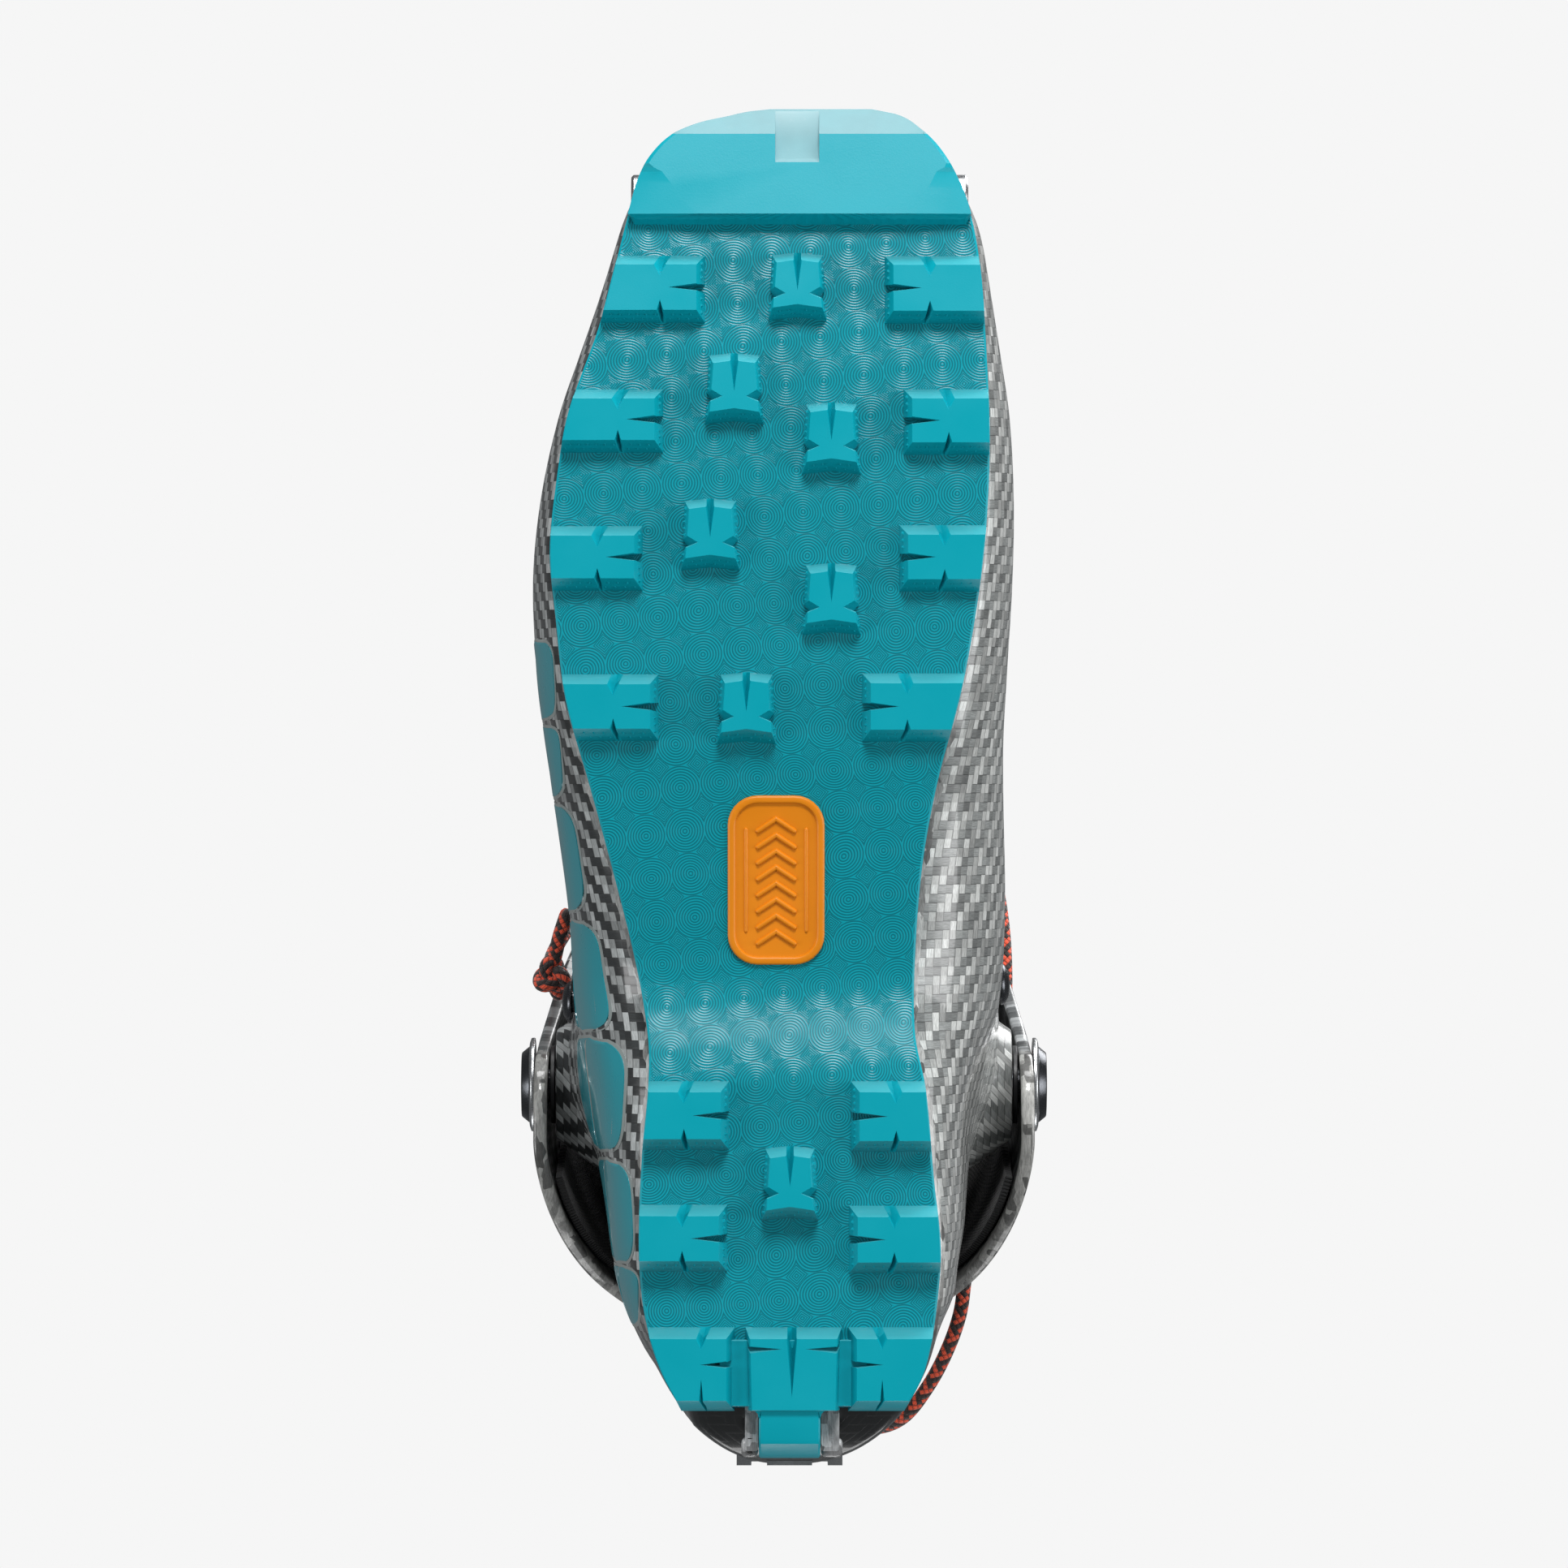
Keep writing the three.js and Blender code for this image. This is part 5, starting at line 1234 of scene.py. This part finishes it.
def heel_blocks(mesh):
    y0, y1 = 117.0, 134.2
    for side, inner, notch in ((LATERAL, 10.6, 17.8), (MEDIAL, 13.8, 21.1)):
        away = notch - inner - END_SLOPE
        side_lug(mesh, side, inner, y0, y1 + 0.8, back_cuts=((away, 0.35, 0.0, 4.6),),
                 front_cuts=((away, 1.0, 0.0, 2.2),), sipes=((0.58, 0.6, 5.0, 5.6),), teeth=False)
    x0, x1, centre = -8.3, 12.4, 1.7
    toe = y0 + TOE_SLOPE

    def at(x, y):
        return np.array([x, y], float)

    walls = [
        wall((x0, y0), (centre - 1, y0), (x0 + 0.9, toe), (centre - 1, toe)),
        [(at(centre - 1, y0), at(centre - 1, mix(y0, toe, 0.45)), at(centre - 1, toe)),
         (at(centre, y0), at(centre, y0 + 5), at(centre, 131.4))],
        wall((centre + 1, y0), (x1, y0), (centre + 1, toe), (x1 - 0.9, toe)),
        wall((x1, y0), (x1 - 0.4, y1 + 0.6), (x1 - 0.9, toe), (x1 - 1.3, y1 + 0.4), ((0.16, 0.6, 6.0, 6.6),)),
        wall((x1 - 0.4, y1 + 0.6), (x0 + 0.4, y1 + 0.6), (x1 - 1.3, y1 + 0.4), (x0 + 1.3, y1 + 0.4)),
        wall((x0 + 0.4, y1 + 0.6), (x0, y0), (x0 + 1.3, y1 + 0.4), (x0 + 0.9, toe), ((0.84, 0.6, 6.0, 6.6),)),
    ]
    lug(mesh, walls)
    corners = [(-14, 119.6), (18, 119.6), (18, 133.9), (-14, 133.9)]
    floor = [wall(a, b, a, b) for a, b in zip(corners, corners[1:] + corners[:1])]
    lug(mesh, floor, tip_z=lambda y: np.full_like(y, 3.4))
    tongue = [(132.6, 1.0), (140.6, 1.25), (141.8, 1.6), (144.2, 4.6), (145.3, 8), (145.3, 11), (142.6, 11),
              (141.8, 9), (132, 9)]
    rows = []
    for x, shrink in ((-5.4, 0.35), (-5.0, 0), (7.4, 0), (7.8, 0.35)):
        rows.append([(x, y - (shrink if y > 140 else 0), z + (shrink if z < 5 else 0)) for y, z in tongue])
    mesh.grid(np.array(rows), wrap=True, kind=RUB, caps=True, flip=True)
    for side, root_x in ((LATERAL, -5.4), (MEDIAL, 7.8)):
        turn = np.linspace(0, math.pi / 2, 7)
        corner = [(root_x + side * 1.9 * (1 - math.sin(a)), 134.4 + 1.9 * (1 - math.cos(a))) for a in turn]
        outline = [(root_x - side * 0.6, 134), *corner[::-1], (root_x + side * 1.9, 134)]
        outline = outline if side < 0 else outline[::-1]
        mesh.grid(prism(outline, 2, 1.0, 8.5), wrap=True, kind=RUB, caps=True, flip=False)


def build_outsole():
    mesh = Mesh()
    sole_slab(mesh, TOE_Y + 0.4, SOLE_BACK_Y, BASE_Z, lambda y: BASE_Z(y) + RUBBER, 190, RING)
    for spec in SIDE_LUGS:
        side_lug(mesh, *spec, back_cuts=((8.0, 0.6, 0.0, 2.2),))
    for spec in MIDDLE_LUGS:
        middle_lug(mesh, *spec)
    heel_blocks(mesh)
    made = mesh.make("outsole_rubber", [M["rubber"], M["ringed"], M["painted_highlight_walls"]], 28)
    settle(made, "lower_boot", ["outsole"])

    pad = Mesh()
    toe_block(pad)
    pad = pad.make("toe_pad_rubber", [M["rubber"], M["painted_highlight_pad"]], 8, weld=0.002)
    outline = [(-150, 18.6), (-150, -1), (-132.9, -1), (-133.2, 8.4), (-135, 10.4), (-137.6, 12.4), (-141, 14.4),
               (-145, 16.6)]
    # The notch's walls get the paler rubber: painted highlight.
    cutter = Mesh().grid(prism(outline, 0, -1.9, 7.6), wrap=True, caps=True, kind=[1] * len(outline) + [0, 0])
    carve(pad, 8, cutter.make("toe_notch", [M["rubber"], M["painted_highlight_pad"]]))
    settle(pad, "lower_boot")


build_outsole()


# ---- badge in the arch -------------------------------------------------------------------------------
BADGE_W, BADGE_H, BADGE_R = 20.9, 36.8, 6.5
BADGE_TOE, BADGE_HEEL = 2.3, 39.1
badge_at = frame_at([-1.7, (BADGE_TOE + BADGE_HEEL) / 2, (BASE_Z(BADGE_HEEL) + BASE_Z(BADGE_TOE)) / 2],
                    [1, 0, 0], [0, BADGE_H, BASE_Z(BADGE_HEEL) - BASE_Z(BADGE_TOE)])


def rounded(w, h, r, steps=8):
    """A rectangle with round corners, going round anticlockwise."""
    x, y = w / 2 - r, h / 2 - r
    corners = ((x, y, 0), (-x, y, 90), (-x, -y, 180), (x, -y, 270))
    turns = np.radians(np.linspace(0, 90, steps))
    return [(x + r * math.cos(t + math.radians(a)), y + r * math.sin(t + math.radians(a)))
            for x, y, a in corners for t in turns]


def ridge(mesh, at, a, b, width, low, high, kind=0):
    """A low rounded rib from a to b on the plane of a frame, standing from low to high."""
    a, b = np.array(a, float), np.array(b, float)
    way = (b - a) / np.linalg.norm(b - a)
    out = np.array([-way[1], way[0]])
    rows = []
    for share, level in ((1.25, 0.0), (1.0, 0.55), (0.62, 0.95), (0.2, 1.0)):
        r = share * width / 2
        turn = np.radians(np.linspace(-90, 90, 7))
        loop = [b + r * (way * math.cos(t) + out * math.sin(t)) for t in turn]
        loop += [a - r * (way * math.cos(t) + out * math.sin(t)) for t in turn]
        rows.append([(*p, mix(low, high, level)) for p in loop])
    mesh.grid(placed(rows, at), wrap=True, kind=kind, caps=True, flip=high > low)


def build_badge():
    mesh = Mesh()
    levels = [(0, 1.2), (0, -0.55), (0.18, -0.8), (0.4, -0.9), (1.3, -0.9), (1.5, -0.82), (1.62, -0.6),
              (1.75, -0.3), (2.2, -0.24)]
    rows = [[(x, y, z) for x, y in rounded(BADGE_W - 2 * s, BADGE_H - 2 * s, BADGE_R - s)] for s, z in levels]
    mesh.grid(placed(rows, badge_at), wrap=True, caps=True, flip=True)
    for n in range(8):
        y = -12.2 + 3.5 * n
        for side in SIDES:
            ridge(mesh, badge_at, (0, y - 1.1), (side * 3.9, y + 1.5), 0.95, -0.2, -0.85)
    for side in SIDES:
        ridge(mesh, badge_at, (side * 6.5, -11), (side * 6.5, 11), 0.7, -0.2, -0.6)
    settle(mesh.make("badge_rubber_relief", [M["orange"]], 50), "lower_boot", ["sole_badge"])


build_badge()


# ---- lower shell -------------------------------------------------------------------------------------
def build_shell():
    mesh = Mesh()
    for grid, uv, side in shell_halves(150, 72):
        mesh.grid(grid, uv, flip=side > 0)
    made = mesh.make("shell_carbon", [M["shell"]], 180, weld=0.05)
    thicken(made, SHELL_WALL, -1, 0.45)
    settle(made, "lower_boot", ["lower_shell"])
    ears = Mesh()
    for side in SIDES:
        profile = softened([(20.5, 40), (18, 43.5), (13, 50.4), (12.4, 51.4), (5.3, 51.4), (5.3, 40)], 0.5)
        ears.grid(turned_grid(profile, 72, side_frame(side, PIVOT_Y, PIVOT_Z)), wrap=True)
    settle(ears.make("shell_ears", [M["shell"]], 45), "lower_boot")


build_shell()


def shell_patch(mesh, outline_low, outline_high, y0, y1, lift, kind, cols=40, rows=6):
    """A thin raised patch over the shell between two lines of knot counts along Y."""
    top, under = [], []
    for t in np.linspace(0, 1, cols):
        y = mix(y0, y1, t)
        knots = np.linspace(outline_low(t), outline_high(t), rows)
        top.append(shell_section(y, knots, -lift))
        under.append(shell_section(y, knots, 0.1))
    top, under = np.array(top), np.array(under)
    grid = np.concatenate([under[:, :1], top, under[:, -1:]], axis=1)
    mesh.grid(grid, kind=kind)


def build_decals():
    """Slanted bars with a pale border along the lateral side, each with a slot down its middle."""
    bars = [(-31, -14, 2.9), (-12.5, 3, 2.9), (4.5, 28, 2.9), (30, 54, 2.8), (55.5, 80, 2.6), (82, 104, 2.4),
            (105, 118, 2.2)]
    inner = line((-31, 50.4), (-20, 49.4), (-3, 48), (15, 44.6), (32, 41.1), (41, 39.4), (59, 35.2), (77, 34.6),
                 (86, 33.6), (95, 32.6), (112, 31.4), (118, 31.2))

    def first_knot(y):
        knots = np.linspace(0.15, 2, 60)
        return float(np.interp(inner(y), -shell_section(y, knots)[:, 0], knots))

    silver, teal = Mesh(), Mesh()
    for y0, y1, high in bars:
        def edge(up, grow):
            """An edge of the bar: up is 0 at its inner edge and 1 at its outer one."""
            def at(t):
                low = first_knot(mix(y0, y1, t))
                ends = (1 - abs(2 * t - 1) ** 5) ** 0.4
                return mix(low, high, 0.5 + (up - 0.5) * ends) + grow * ends + 0.2 * (t - 0.5)
            return at
        shell_patch(silver, edge(0, -0.09), edge(1, 0.09), y0 - 0.7, y1 + 0.7, 0.12, 0)
        shell_patch(teal, edge(0, 0), edge(0.66, -0.06), y0, y1, 0.2, 0)
        shell_patch(teal, edge(0.66, 0.06), edge(1, 0), y0, y1, 0.2, 0)
    settle(silver.make("side_bars_silver", [M["silver_decal"]], 50), "lower_boot")
    settle(teal.make("side_bars_teal", [M["teal_decal"]], 50), "lower_boot")


build_decals()


def build_heel_blocks():
    """Carbon pads on both sides of the rubber tongue at the back of the sole."""
    mesh = Mesh()
    for x0, x1 in ((-8.4, -5.6), (8.0, 11.9)):
        outline = rounded(x1 - x0, 10.0, 0.5, 4)
        rows = [[(x + (x0 + x1) / 2, y + 138.6, z) for x, y in outline] for z in (6.2, 5.4, 5.2)]
        mesh.grid(np.array(rows)[:, ::-1], wrap=True, caps=True, flip=False)
    for x0, x1 in ((-9.2, -5.6), (8.0, 12.6)):
        levels = ((0, 9.5), (0, 6.2), (0.4, 5.6), (1.0, 5.2))
        rows = []
        for s, z in levels:
            outline = rounded(x1 - x0 - 2 * s, 4.4 - s, 1.3, 5)
            rows.append([(x + (x0 + x1) / 2, y + 143.0 - s / 2, z + 0.25 * (y + 1.5)) for x, y in outline])
        mesh.grid(np.array(rows)[:, ::-1], wrap=True, caps=True, flip=False)
    settle(mesh.make("heel_carbon_blocks", [M["forged"]], 40), "lower_boot")


build_heel_blocks()


# ---- cuff --------------------------------------------------------------------------------------------
def build_cuff():
    grid = cuff_grid(0, 70, 200)
    made = Mesh().grid(grid, flip=True).make("cuff_carbon", [M["cuff"]], 180)
    thicken(made, CUFF_WALL, -1, 0.8)
    settle(made, "cuff", ["cuff"])
    rows, cols = 40, 150
    pad = cuff_grid(CUFF_WALL + 0.6, rows, cols, 0.8, 6, 7)
    pad = Mesh().grid(pad, flip=True).make("cuff_lining", [M["fabric"]], 180)
    thicken(pad, 1.7, -1, 0.4)
    settle(pad, "cuff", ["cuff_pad"])


build_cuff()


def build_pivots():
    for side in SIDES:
        name = SIDE_NAME[side]
        at = side_frame(side, PIVOT_Y, PIVOT_Z)
        disc = [(0, 56.2), (10.6, 56.2), (10.6, 57.1), (9.4, 57.5), (0, 57.5)]
        turned_piece(f"pivot_disc_{name}", disc, at, "steel", "cuff")
        head = [(0, 50), (4.2, 50), (4.2, 57), (8.6, 57), (8.6, 57.6), (7.2, 59.3), (4.4, 59.4), (3.4, 59.3),
                (3.0, 58), (0, 58)]
        turned_piece(f"pivot_head_{name}", head, at, "pivot", "cuff", [f"pivot_bolt_{name}"])
        washer = [(4.6, 51.7), (8.8, 51.7), (8.8, 52.7), (4.6, 52.7)]
        turned_piece(f"pivot_ring_{name}", washer, at, "black", "cuff", [f"pivot_washer_{name}"],
                     radius=0.15)


build_pivots()

# ---- inner boot --------------------------------------------------------------------------------------
ANKLE_BACK = line((84, 131), (100, 130), (130, 129))
ANKLE_FRONT = line((84, 30), (100, 19), (115, 12.5), (130, 13.5))
ANKLE_WIDTH = line((78, 29), (96, 31.5), (107, 37), (116, 43), (124, 43.5))


def inner_oval(turn, z, inset=0.0):
    """The inner boot round the ankle and shin: a plain oval low down and the cuff's own oval above."""
    s, c = np.sin(np.radians(turn)), np.cos(np.radians(turn))
    back, front = ANKLE_BACK(z) - inset, ANKLE_FRONT(z) + inset
    x, y = (ANKLE_WIDTH(z) - inset) * s, (back + front) / 2 + (back - front) / 2 * c
    low = np.stack(np.broadcast_arrays(x, y, z), axis=-1)
    return mix(low, cuff_point(turn, z, 7.9 + inset), smooth((z - 118) / 34)[..., None])


def build_inner_boot():
    rows, cols = 120, 160
    turn = np.linspace(0, 360, cols, endpoint=False)[None, :]
    share = np.linspace(0, 1, rows)[:, None]
    top = 306 + 10 * np.cos(np.radians(turn))
    low = 108 - 25 * np.maximum(0, np.cos(np.radians(turn)))
    z = low + (top - low) * share
    seam = np.zeros_like(z + turn)
    for level in (158, 206, 254, 290):
        seam += np.exp(-((z - level - 4 * np.cos(np.radians(turn))) / 1.3) ** 2)
    for angle in (62, 298, 128, 232):
        seam += np.exp(-((turn - angle) / 1.6) ** 2)
    puff = 0.7 - 1.4 * np.minimum(1, seam)
    grid = inner_oval(turn + 0 * z, z + 0 * turn, 0.6 + (0.7 - puff) * 0.6)
    made = Mesh().grid(grid, wrap=True, flip=True).make("inner_boot_shaft", [M["liner"]], 180)
    thicken(made, 4.5, -1, 1.4)
    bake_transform(made)
    settle(made, None, ["liner_shaft"])

    foot = Mesh()
    collar = ((16, 118), (24, 110), (32, 106), *COLLAR[3:])
    for part, uv, side in shell_halves(90, 44, SHELL_WALL + 1, 4, 4.2, collar):
        foot.grid(part, uv, flip=side > 0)
    made = foot.make("inner_boot_foot", [M["liner"]], 180, weld=0.05)
    thicken(made, 4.5, -1, 0.8)
    settle(made, "lower_boot", ["liner_foot"])


build_inner_boot()


def pull_loop():
    turn, radius = np.linspace(-0.35, math.pi, 44), 9.0
    arch = np.stack([84.4 + radius * np.cos(turn), 316.6 + 1.5 * radius * np.sin(turn)], axis=1)
    grid = np.array([[(x, *p) for p in arch] for x in np.linspace(-8, 8, 14)])
    made = Mesh().grid(grid).make("pull_loop_webbing", [M["trim"]], 180)
    thicken(made, 1.4, 1, 0.3)
    settle(made, "cuff", ["liner_pull_loop"])


pull_loop()


def build_shin_flap():
    rows, cols = 50, 60
    share = np.linspace(-1, 1, cols)[None, :]
    t = np.linspace(0, 1, rows)[:, None]
    z = mix(160 - 4 * share ** 2, 292 - 14 * share ** 2, t)
    grid = cuff_point(180 + 62 * share + 0 * z, z, 5.7)
    made = Mesh().grid(grid, flip=True).make("shin_flap_shell", [M["black"]], 180)
    thicken(made, 1.8, -1, 0.5)
    settle(made, "cuff", ["shin_flap"])


build_shin_flap()


# ---- instep: gaiter, reel and lacing -----------------------------------------------------------------
GAITER_OUT = 1.7


def instep_frame(y, knot, lift):
    at = on_shell(y, knot, lift)
    along = on_shell(y - 1, knot, lift) - on_shell(y + 1, knot, lift)
    wide = on_shell(y, knot + 0.2, lift) - on_shell(y, knot - 0.2, lift)
    return frame_at(at, along, wide)


def build_gaiter():
    knots = np.linspace(4.35, 7.65, 60)
    rows = np.array([shell_section(y, knots, -GAITER_OUT) for y in np.linspace(-86, 13, 100)])
    made = Mesh().grid(rows, flip=False).make("instep_cover_cloth", [M["fabric"]], 180)
    thicken(made, 1.0, -1, 0.25)
    settle(made, "lower_boot", ["instep_gaiter"])


build_gaiter()
REEL_AT = instep_frame(REEL_Y, 6, GAITER_OUT)


def build_reel():
    base = [(16.5, -4), (16.5, 3), (15, 4.6), (6, 4.6), (6, 1.2), (0, 1.2)]
    turned_piece("reel_housing", base, REEL_AT, "black", "lower_boot", ["reel_base"], 0.5, 96)
    core = [(0, 1.6), (5.6, 1.6), (5.6, 4.2), (3, 4.2), (3, 9), (0, 9)]
    turned_piece("reel_spindle", core, REEL_AT, "steel", "reel_core", ["reel_core"])
    teeth, steps = 26, 12
    turn = np.linspace(0, 2 * np.pi, teeth * steps, endpoint=False)
    knurl = 0.5 + 0.5 * np.cos(teeth * turn)
    rows = []
    profile = ((3.4, 5.2, 0), (13.4, 5.2, 0), (13.9, 5.5, 0.6), (13.9, 12.4, 0.7), (13.5, 13.2, 0.4),
               (10.2, 13.4, 0), (9.4, 13.0, 0), (8.8, 12.2, 0), (0.4, 12.0, 0))
    for radius, height, depth in profile:
        r = radius + depth * knurl
        rows.append(np.stack([r * np.cos(turn), r * np.sin(turn), np.full(len(turn), height)], axis=1))
    dial = Mesh().grid(placed(np.array(rows), REEL_AT), wrap=True, caps=True)
    for n in range(3):
        a = 2 * math.pi * n / 3 + 0.4
        ridge(dial, REEL_AT, (3 * math.cos(a), 3 * math.sin(a)), (7 * math.cos(a), 7 * math.sin(a)), 1.2, 12, 12.7)
    settle(dial.make("reel_knob", [M["black"]], 45), "reel_dial", ["reel_dial"])


build_reel()
GUIDES = (("lace_guide_lateral_front", -66, 4.05), ("lace_guide_medial_front", -66, 7.95),
          ("lace_guide_lateral_back", -44, 4.05), ("lace_guide_medial_back", -44, 7.95))
GUIDE_BORE = 3.1


def guide_run(index, *offsets):
    at = instep_frame(GUIDES[index][1], GUIDES[index][2], 0)
    return [placed([[along, 0, GUIDE_BORE]], at)[0] for along in offsets]


def lace_over(start, end, lift):
    points = []
    for i in range(7):
        t = (i + 0.5) / 7
        height = 3.4 + (lift - 3.4) * math.sin(math.pi * t)
        points.append(on_shell(mix(start[0], end[0], t), mix(start[1], end[1], t), height))
    return points


def reel_port(side, out, away):
    return placed([[away, out * side, 2.9]], REEL_AT)[0]


LACE_PATH = [
    reel_port(-1, 12.4, 12.6), reel_port(-1, 15, 16.5),
    *lace_over((-36, 4.9), (-36, 4.3), 4), *guide_run(2, -7, -3, 3, 7),
    *lace_over((-53, 4.2), (-58, 7.8), 5.2), *guide_run(1, -7, -3, 3, 7),
    *lace_over((-76, 7.6), (-76, 4.4), 3.6), *guide_run(0, 7, 3, -3, -7),
    *lace_over((-58, 4.2), (-53, 7.8), 3.2), *guide_run(3, 7, 3, -3, -7),
    *lace_over((-36, 7.7), (-36, 7.1), 4), reel_port(1, 15, 16.5), reel_port(1, 12.4, 12.6)]


def cord_piece(name, points, diameter, key, body, nodes, step=0.8, sides=14):
    path, length = smooth_path(points, step)
    grid, uv = tube_grid(path, diameter, sides)
    made = Mesh().grid(grid, uv, wrap=True, caps=True).make(name, [M[key]], 180)
    settle(made, body, nodes)
    return made, to_row(path), length * MM


def build_lace():
    made, path, length = cord_piece("lace_wire", LACE_PATH, LACE_D, "lace", "lower_boot", ["instep_lace"],
                                    0.7, 10)


build_lace()


# ---- cord that closes the cuff -----------------------------------------------------------------------
CORD_LIFT = 3.7
CORD_GUIDES = {name: (z, side * (float(FRONT_TURN(z)) - from_edge)) for name, side, z, from_edge in (
    ("lateral_low", -1, 172, 10), ("medial_low", 1, 184, 10), ("lateral_high", -1, 226, 10),
    ("medial_high", 1, 238, 10), ("medial_back", 1, 212, 76))}


def through(name, *heights):
    z, turn = CORD_GUIDES[name]
    at = cuff_frame(turn, z)
    return [placed([[0, h, CORD_LIFT]], at)[0] for h in heights]


def cord_over(start, end, lift, count=6):
    t = (np.arange(count) + 0.5) / count
    return list(cuff_point(mix(start[0], end[0], t), mix(start[1], end[1], t), -lift))


def around(a, b, lift=3.6):
    (za, ta), (zb, tb) = CORD_GUIDES[a], CORD_GUIDES[b]
    if tb < 0:
        tb += 360 if ta > 0 else 0
    elif ta < 0:
        tb -= 360
    return cord_over((ta, za + 9), (tb, zb - 9), lift, 9)


FRONT_CORD = [(-52.2, 45.4, 107.4), (-51.4, 47.4, 109.6), (-51.2, 47, 113.5), (-52.2, 44, 119.5),
              (-53.4, 40.5, 127), *cord_over((-119, 138), (-136, 160), 2.6, 4),
              *through("lateral_low", -7, 0, 7), *around("lateral_low", "medial_low"),
              *through("medial_low", -7, 0, 7), *around("medial_low", "lateral_high"),
              *through("lateral_high", -7, 0, 7), *around("lateral_high", "medial_high"),
              *through("medial_high", -7, -2, 3)]
BACK_CORD = [*through("medial_high", 3.6, 7), *cord_over((148, 250), (84, 226), 3.6, 9),
             *through("medial_back", 7, 0, -7),
             (51.5, 75, 192), (49.5, 88, 178), (46, 101, 168), (42.6, 113, 164.5), (41, 123.5, 163),
             (38, 132, 162.5), (33.5, 140.5, 163), (27.5, 148, 165.5), (18, 151, 176), (9, 148.5, 183.5),
             (4.4, 145.6, 186.8), (2.7, 141.8, 187.4), (2.5, 138, 187.2)]


KNOT_CENTRE = np.array([-52.6, 43.4, 106.0])
KNOT_TAIL = [(-52.4, 41, 106), (-51.8, 38.6, 105.6), (-50.8, 34.4, 104.8), (-49.3, 29.8, 104)]


def knot_path():
    """An overhand knot, drawn up tight, with its two ends running on."""
    t = np.linspace(0, 2 * np.pi, 40, endpoint=False)[2:-2]
    loop = np.stack([np.sin(t) + 2 * np.sin(2 * t), np.cos(t) - 2 * np.cos(2 * t), -np.sin(3 * t)], axis=1)
    return KNOT_CENTRE + loop * [1.05, 1.1, 1.35]


def build_cords():
    made, path, length = cord_piece("closure_cord", FRONT_CORD, CORD_D, "cord", "cuff",
                                    ["closure_cord_front"])
    knot, _, _ = cord_piece("closure_cord_knot", knot_path(), CORD_D * 0.94, "cord", "cuff",
                            ["cord_knot"], 0.5)
    tail, _, _ = cord_piece("closure_cord_tail", KNOT_TAIL, CORD_D, "cord", "cuff", ["cord_tail"], 0.5)
    path, length = smooth_path(BACK_CORD, 0.8)
    grid, uv = tube_grid(path, CORD_D, 14)
    back = Mesh().grid(grid, uv, wrap=True, caps=True).make("lever_cord", [M["cord"]], 180)
    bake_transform(back)
    settle(back, None, ["closure_cord_back"])


build_cords()


# ---- hardware kept from the frame --------------------------------------------------------------------
def keep(name, key, bevel=0.0):
    node = cad_nodes[name]
    node.data.materials.clear()
    node.data.materials.append(M[key])
    if bevel:
        round_edges(node, bevel, 35, 3)


for kept, key, bevel in (
    ("heel_fitting", "steel", 0.4), ("lock_catch", "steel", 0.5), ("lever_bracket", "black", 0.6),
    ("ski_walk_lever", "teal", 0.6), ("boot_board", "black", 0.0), ("footbed", "footbed", 0.0),
    ("pivot_nut_lateral", "steel", 0.0), ("pivot_nut_medial", "steel", 0.0), ("lever_pin", "steel", 0.2),
    ("heel_fitting_screw", "steel", 0.2), ("lock_catch_screw_1", "steel", 0.2),
    ("lock_catch_screw_2", "steel", 0.2),
    *((name, "black", 0.5) for name, _, _ in GUIDES),
    *((f"cord_guide_{name}", "black", 0.6) for name in CORD_GUIDES),
):
    keep(kept, key, bevel)

TOE_SOCKET = {LATERAL: 32.4, MEDIAL: 39.2}  # how far out each one stands
for side in SIDES:
    name, out = SIDE_NAME[side], TOE_SOCKET[side]
    at = side_frame(side, -127.5, 25.5)
    profile = [(0, out - 2.9), (5, out - 2.9), (5, out + 0.3), (4.5, out + 0.8), (3.2, out + 0.8),
               (0.9, out - 1.6), (0, out - 1.6)]
    turned_piece(f"toe_socket_{name}", profile, at, "steel", "lower_boot", [f"toe_fitting_{name}"], 0.15)


def shell_side(side, y, z):
    """How far out the shell's side is at a height."""
    knots = np.linspace(2, 4.95, 60)
    points = shell_section(y, knots if side < 0 else 12 - knots)
    return points[np.argmin(np.abs(points[:, 2] - z))][0]


RIVET_Z = 89
for side, y in ((LATERAL, 49), (MEDIAL, 45)):
    name, out = SIDE_NAME[side], abs(shell_side(side, y, RIVET_Z))
    profile = [(0, out - 3.4), (2.3, out - 3.4), (2.3, out + 1), (4.8, out + 1), (4.5, out + 1.8),
               (2.9, out + 2.8), (0, out + 3.2)]
    turned_piece(f"rivet_{name}", profile, side_frame(side, y, RIVET_Z), "pivot", "lower_boot",
                 [f"gaiter_rivet_{name}"], 0.4)
